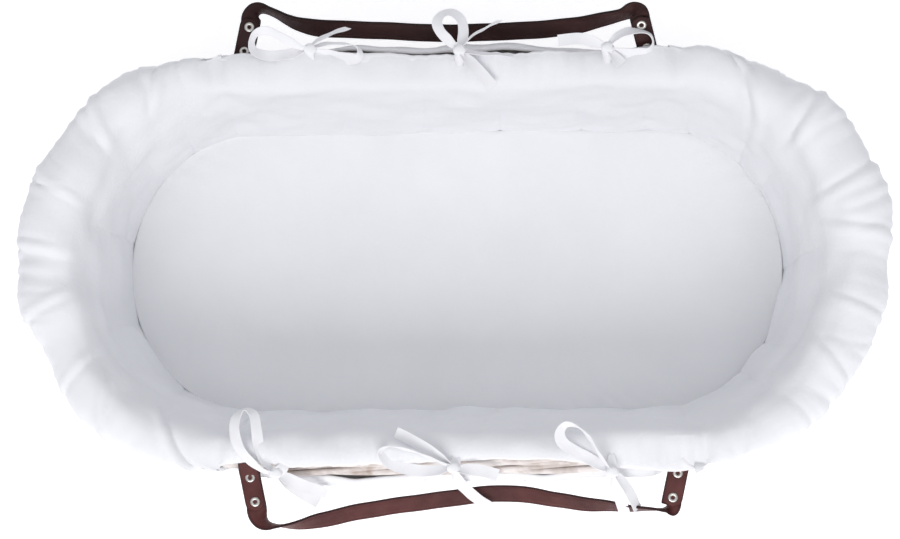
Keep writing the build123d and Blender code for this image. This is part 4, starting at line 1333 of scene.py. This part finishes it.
def ribbon(path, side, square_end):
    """A tape along a path: pinched at the knot, slightly cupped and flat at its cut end."""
    points = np.array([(x * MM, side * (RIM_HALF_WIDTH + out * MM), RIM_SIDE + up * MM)
                       for x, out, up, _ in path])
    line = smooth_through(points, 9)
    turns = np.radians(smooth_through(np.array([[p[3]] for p in path], dtype=float), 9)[:, 0])
    along = unit(np.gradient(line, axis=0))
    flat = unit(np.cross(along, [0.0, 0.0, 1.0]))
    raised = np.cross(flat, along)
    across = flat * np.cos(turns)[:, None] + raised * np.sin(turns)[:, None]
    normal = np.cross(across, along)
    lengths = lengths_along(line)
    from_knot = lengths if square_end else np.minimum(lengths, lengths[-1] - lengths)
    pinch = 0.42 + 0.58 * np.clip(from_knot / 0.014, 0, 1) ** 0.8
    cup = 0.0012 * (1 - np.clip(from_knot / 0.03, 0, 1)) + 0.0003
    ripple = 0.0004 * np.sin(lengths * 260 + points[0, 0] * 900)
    columns = np.linspace(-1, 1, 9)
    top = line[:, None] + across[:, None] * (columns * TAPE_WIDTH / 2)[None, :, None] \
        * pinch[:, None, None]
    lift = cup[:, None] * (columns ** 2 - 0.4)[None, :] + ripple[:, None] * columns[None, :]
    top = top + normal[:, None] * lift[..., None]
    uvs = uv_grid(lengths, columns[None] * TAPE_WIDTH / 2)
    faces = grid_faces(len(line), len(columns))
    return top.reshape(-1, 3), [tuple(f) for f in faces], uvs.reshape(-1, 2), 0.0


def knot(place, side, seed):
    """A small wrapped lump of tape."""
    local = np.random.default_rng(seed)
    x, out, up = place
    middle = np.array([x * MM, side * (RIM_HALF_WIDTH + out * MM), RIM_SIDE + (up + 1) * MM])
    turn = np.linspace(0, 2 * np.pi, 28, endpoint=False)
    belt = np.linspace(-1, 1, 15)[1:-1]
    spin = local.uniform(0, np.pi)
    reach = np.sqrt(1 - belt[:, None] ** 2 * 0.85)
    wrap = 1 + 0.10 * np.cos(3 * turn[None] + belt[:, None] * 4 + spin)
    half_x, half_y, half_z = KNOT_SIZE
    x = half_x * reach * np.cos(turn)[None] * wrap
    y = half_y * reach * np.sin(turn)[None] * wrap
    z = np.broadcast_to(half_z * belt[:, None], x.shape)
    points = np.stack([x, y, z], axis=-1).reshape(-1, 3) + middle
    faces = tube_faces(len(belt), len(turn))
    uvs = points[:, :2] - middle[:2]
    return points, faces, uvs, 0.0


def thicken(piece, thickness, offset):
    """Gives a thin piece its thickness as part of its mesh: offset -1 is all on its inner side."""
    solidify = piece.modifiers.new("thickness", "SOLIDIFY")
    solidify.thickness = thickness
    solidify.offset = offset
    depsgraph = bpy.context.evaluated_depsgraph_get()
    piece.data = bpy.data.meshes.new_from_object(piece.evaluated_get(depsgraph))
    piece.modifiers.clear()
    piece.data.set_sharp_from_angle(angle=SHARP_ANGLE)


def make_bow(name, material):
    """One bow: what hangs over the handle is a piece of its own, the rest rides the basket."""
    side, tapes = BOWS[name]
    fixed = [knot(KNOTS[name], side, 3)]
    hung = []
    for kind, path in tapes:
        group = hung if kind == "over" else fixed
        group.append(ribbon(path, side, kind in ("tail", "over", "stay")))
    for label, parts in (("bow", fixed), ("bow_ends", hung)):
        if not parts:
            continue
        points, faces, uvs, _ = gather(parts)
        piece = new_object(f"{label}_{name}", points, faces, material, uvs)
        thicken(piece, TAPE_THICKNESS, 0)
        if parts is hung:
            knot_out = KNOTS[name][1] * MM
            bend_with_handle(piece, side, knot_out + 0.003, knot_out + 0.020)
        else:
            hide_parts(f"tie_{name}")
            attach(piece, "basket")


# --- Build --------------------------------------------------------------------------------

def paint_nodes(paints):
    """Better materials on the CAD nodes that stay."""
    for node, material in paints.items():
        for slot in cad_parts[node].material_slots:
            slot.material = material


def main():
    make_camera()
    make_lights()
    make_floor()
    rod = willow("willow", (0.60, 0.51, 0.45), (0.40, 0.31, 0.26), (0.80, 0.76, 0.74))
    thick_rod = willow("willow_thick", (0.66, 0.57, 0.52), (0.46, 0.36, 0.31), (0.86, 0.82, 0.80))
    quilted = cotton("quilted_cotton", (0.86, 0.865, 0.89), 24.0, 0.25)
    plain = cotton("cotton", (0.86, 0.865, 0.89), 30.0, 0.25)
    tape = cotton("tape", (0.90, 0.90, 0.92), 60.0, 0.15)
    bedding = cotton("sheet_cotton", (0.87, 0.875, 0.89), 16.0, 0.22, sheen=0.15)
    # The far strap's leather is the same leather scaled down to 0.36: painted shade, since that
    # strap faces away from the key light.
    hides = {"near": leather("leather", 1.0), "far": leather("leather_painted_shade", 0.36)}
    metal = nickel("nickel", (0.66, 0.64, 0.60), 0.24)
    border_braid(thick_rod)
    waling("top_band", "top_waling", rod, (-0.0125, -0.0165), 0.004, 0.0022)
    waling("foot_band", "foot_ring", rod, (0.0042, 0.0112), 0.0005, 0.0019, level=0.0)
    woven_side(rod)
    uprights(thick_rod)
    woven_floor(rod)
    surface, inside, pieces = make_liner(quilted, plain)
    finish_liner(*pieces)
    make_tapes(surface, inside, tape)
    make_mattress(bedding)
    for name in BOWS:
        make_bow(name, tape)
    for name, handle in HANDLES.items():
        make_strap(name, handle, hides[name])
        make_rivets(name, handle, metal)
    paint_nodes({
        "base_sticks": thick_rod,
        "mattress_foam": foam(),
        "sheet_elastic": tape,
        "washers_near": metal,
        "washers_far": metal,
    })


main()
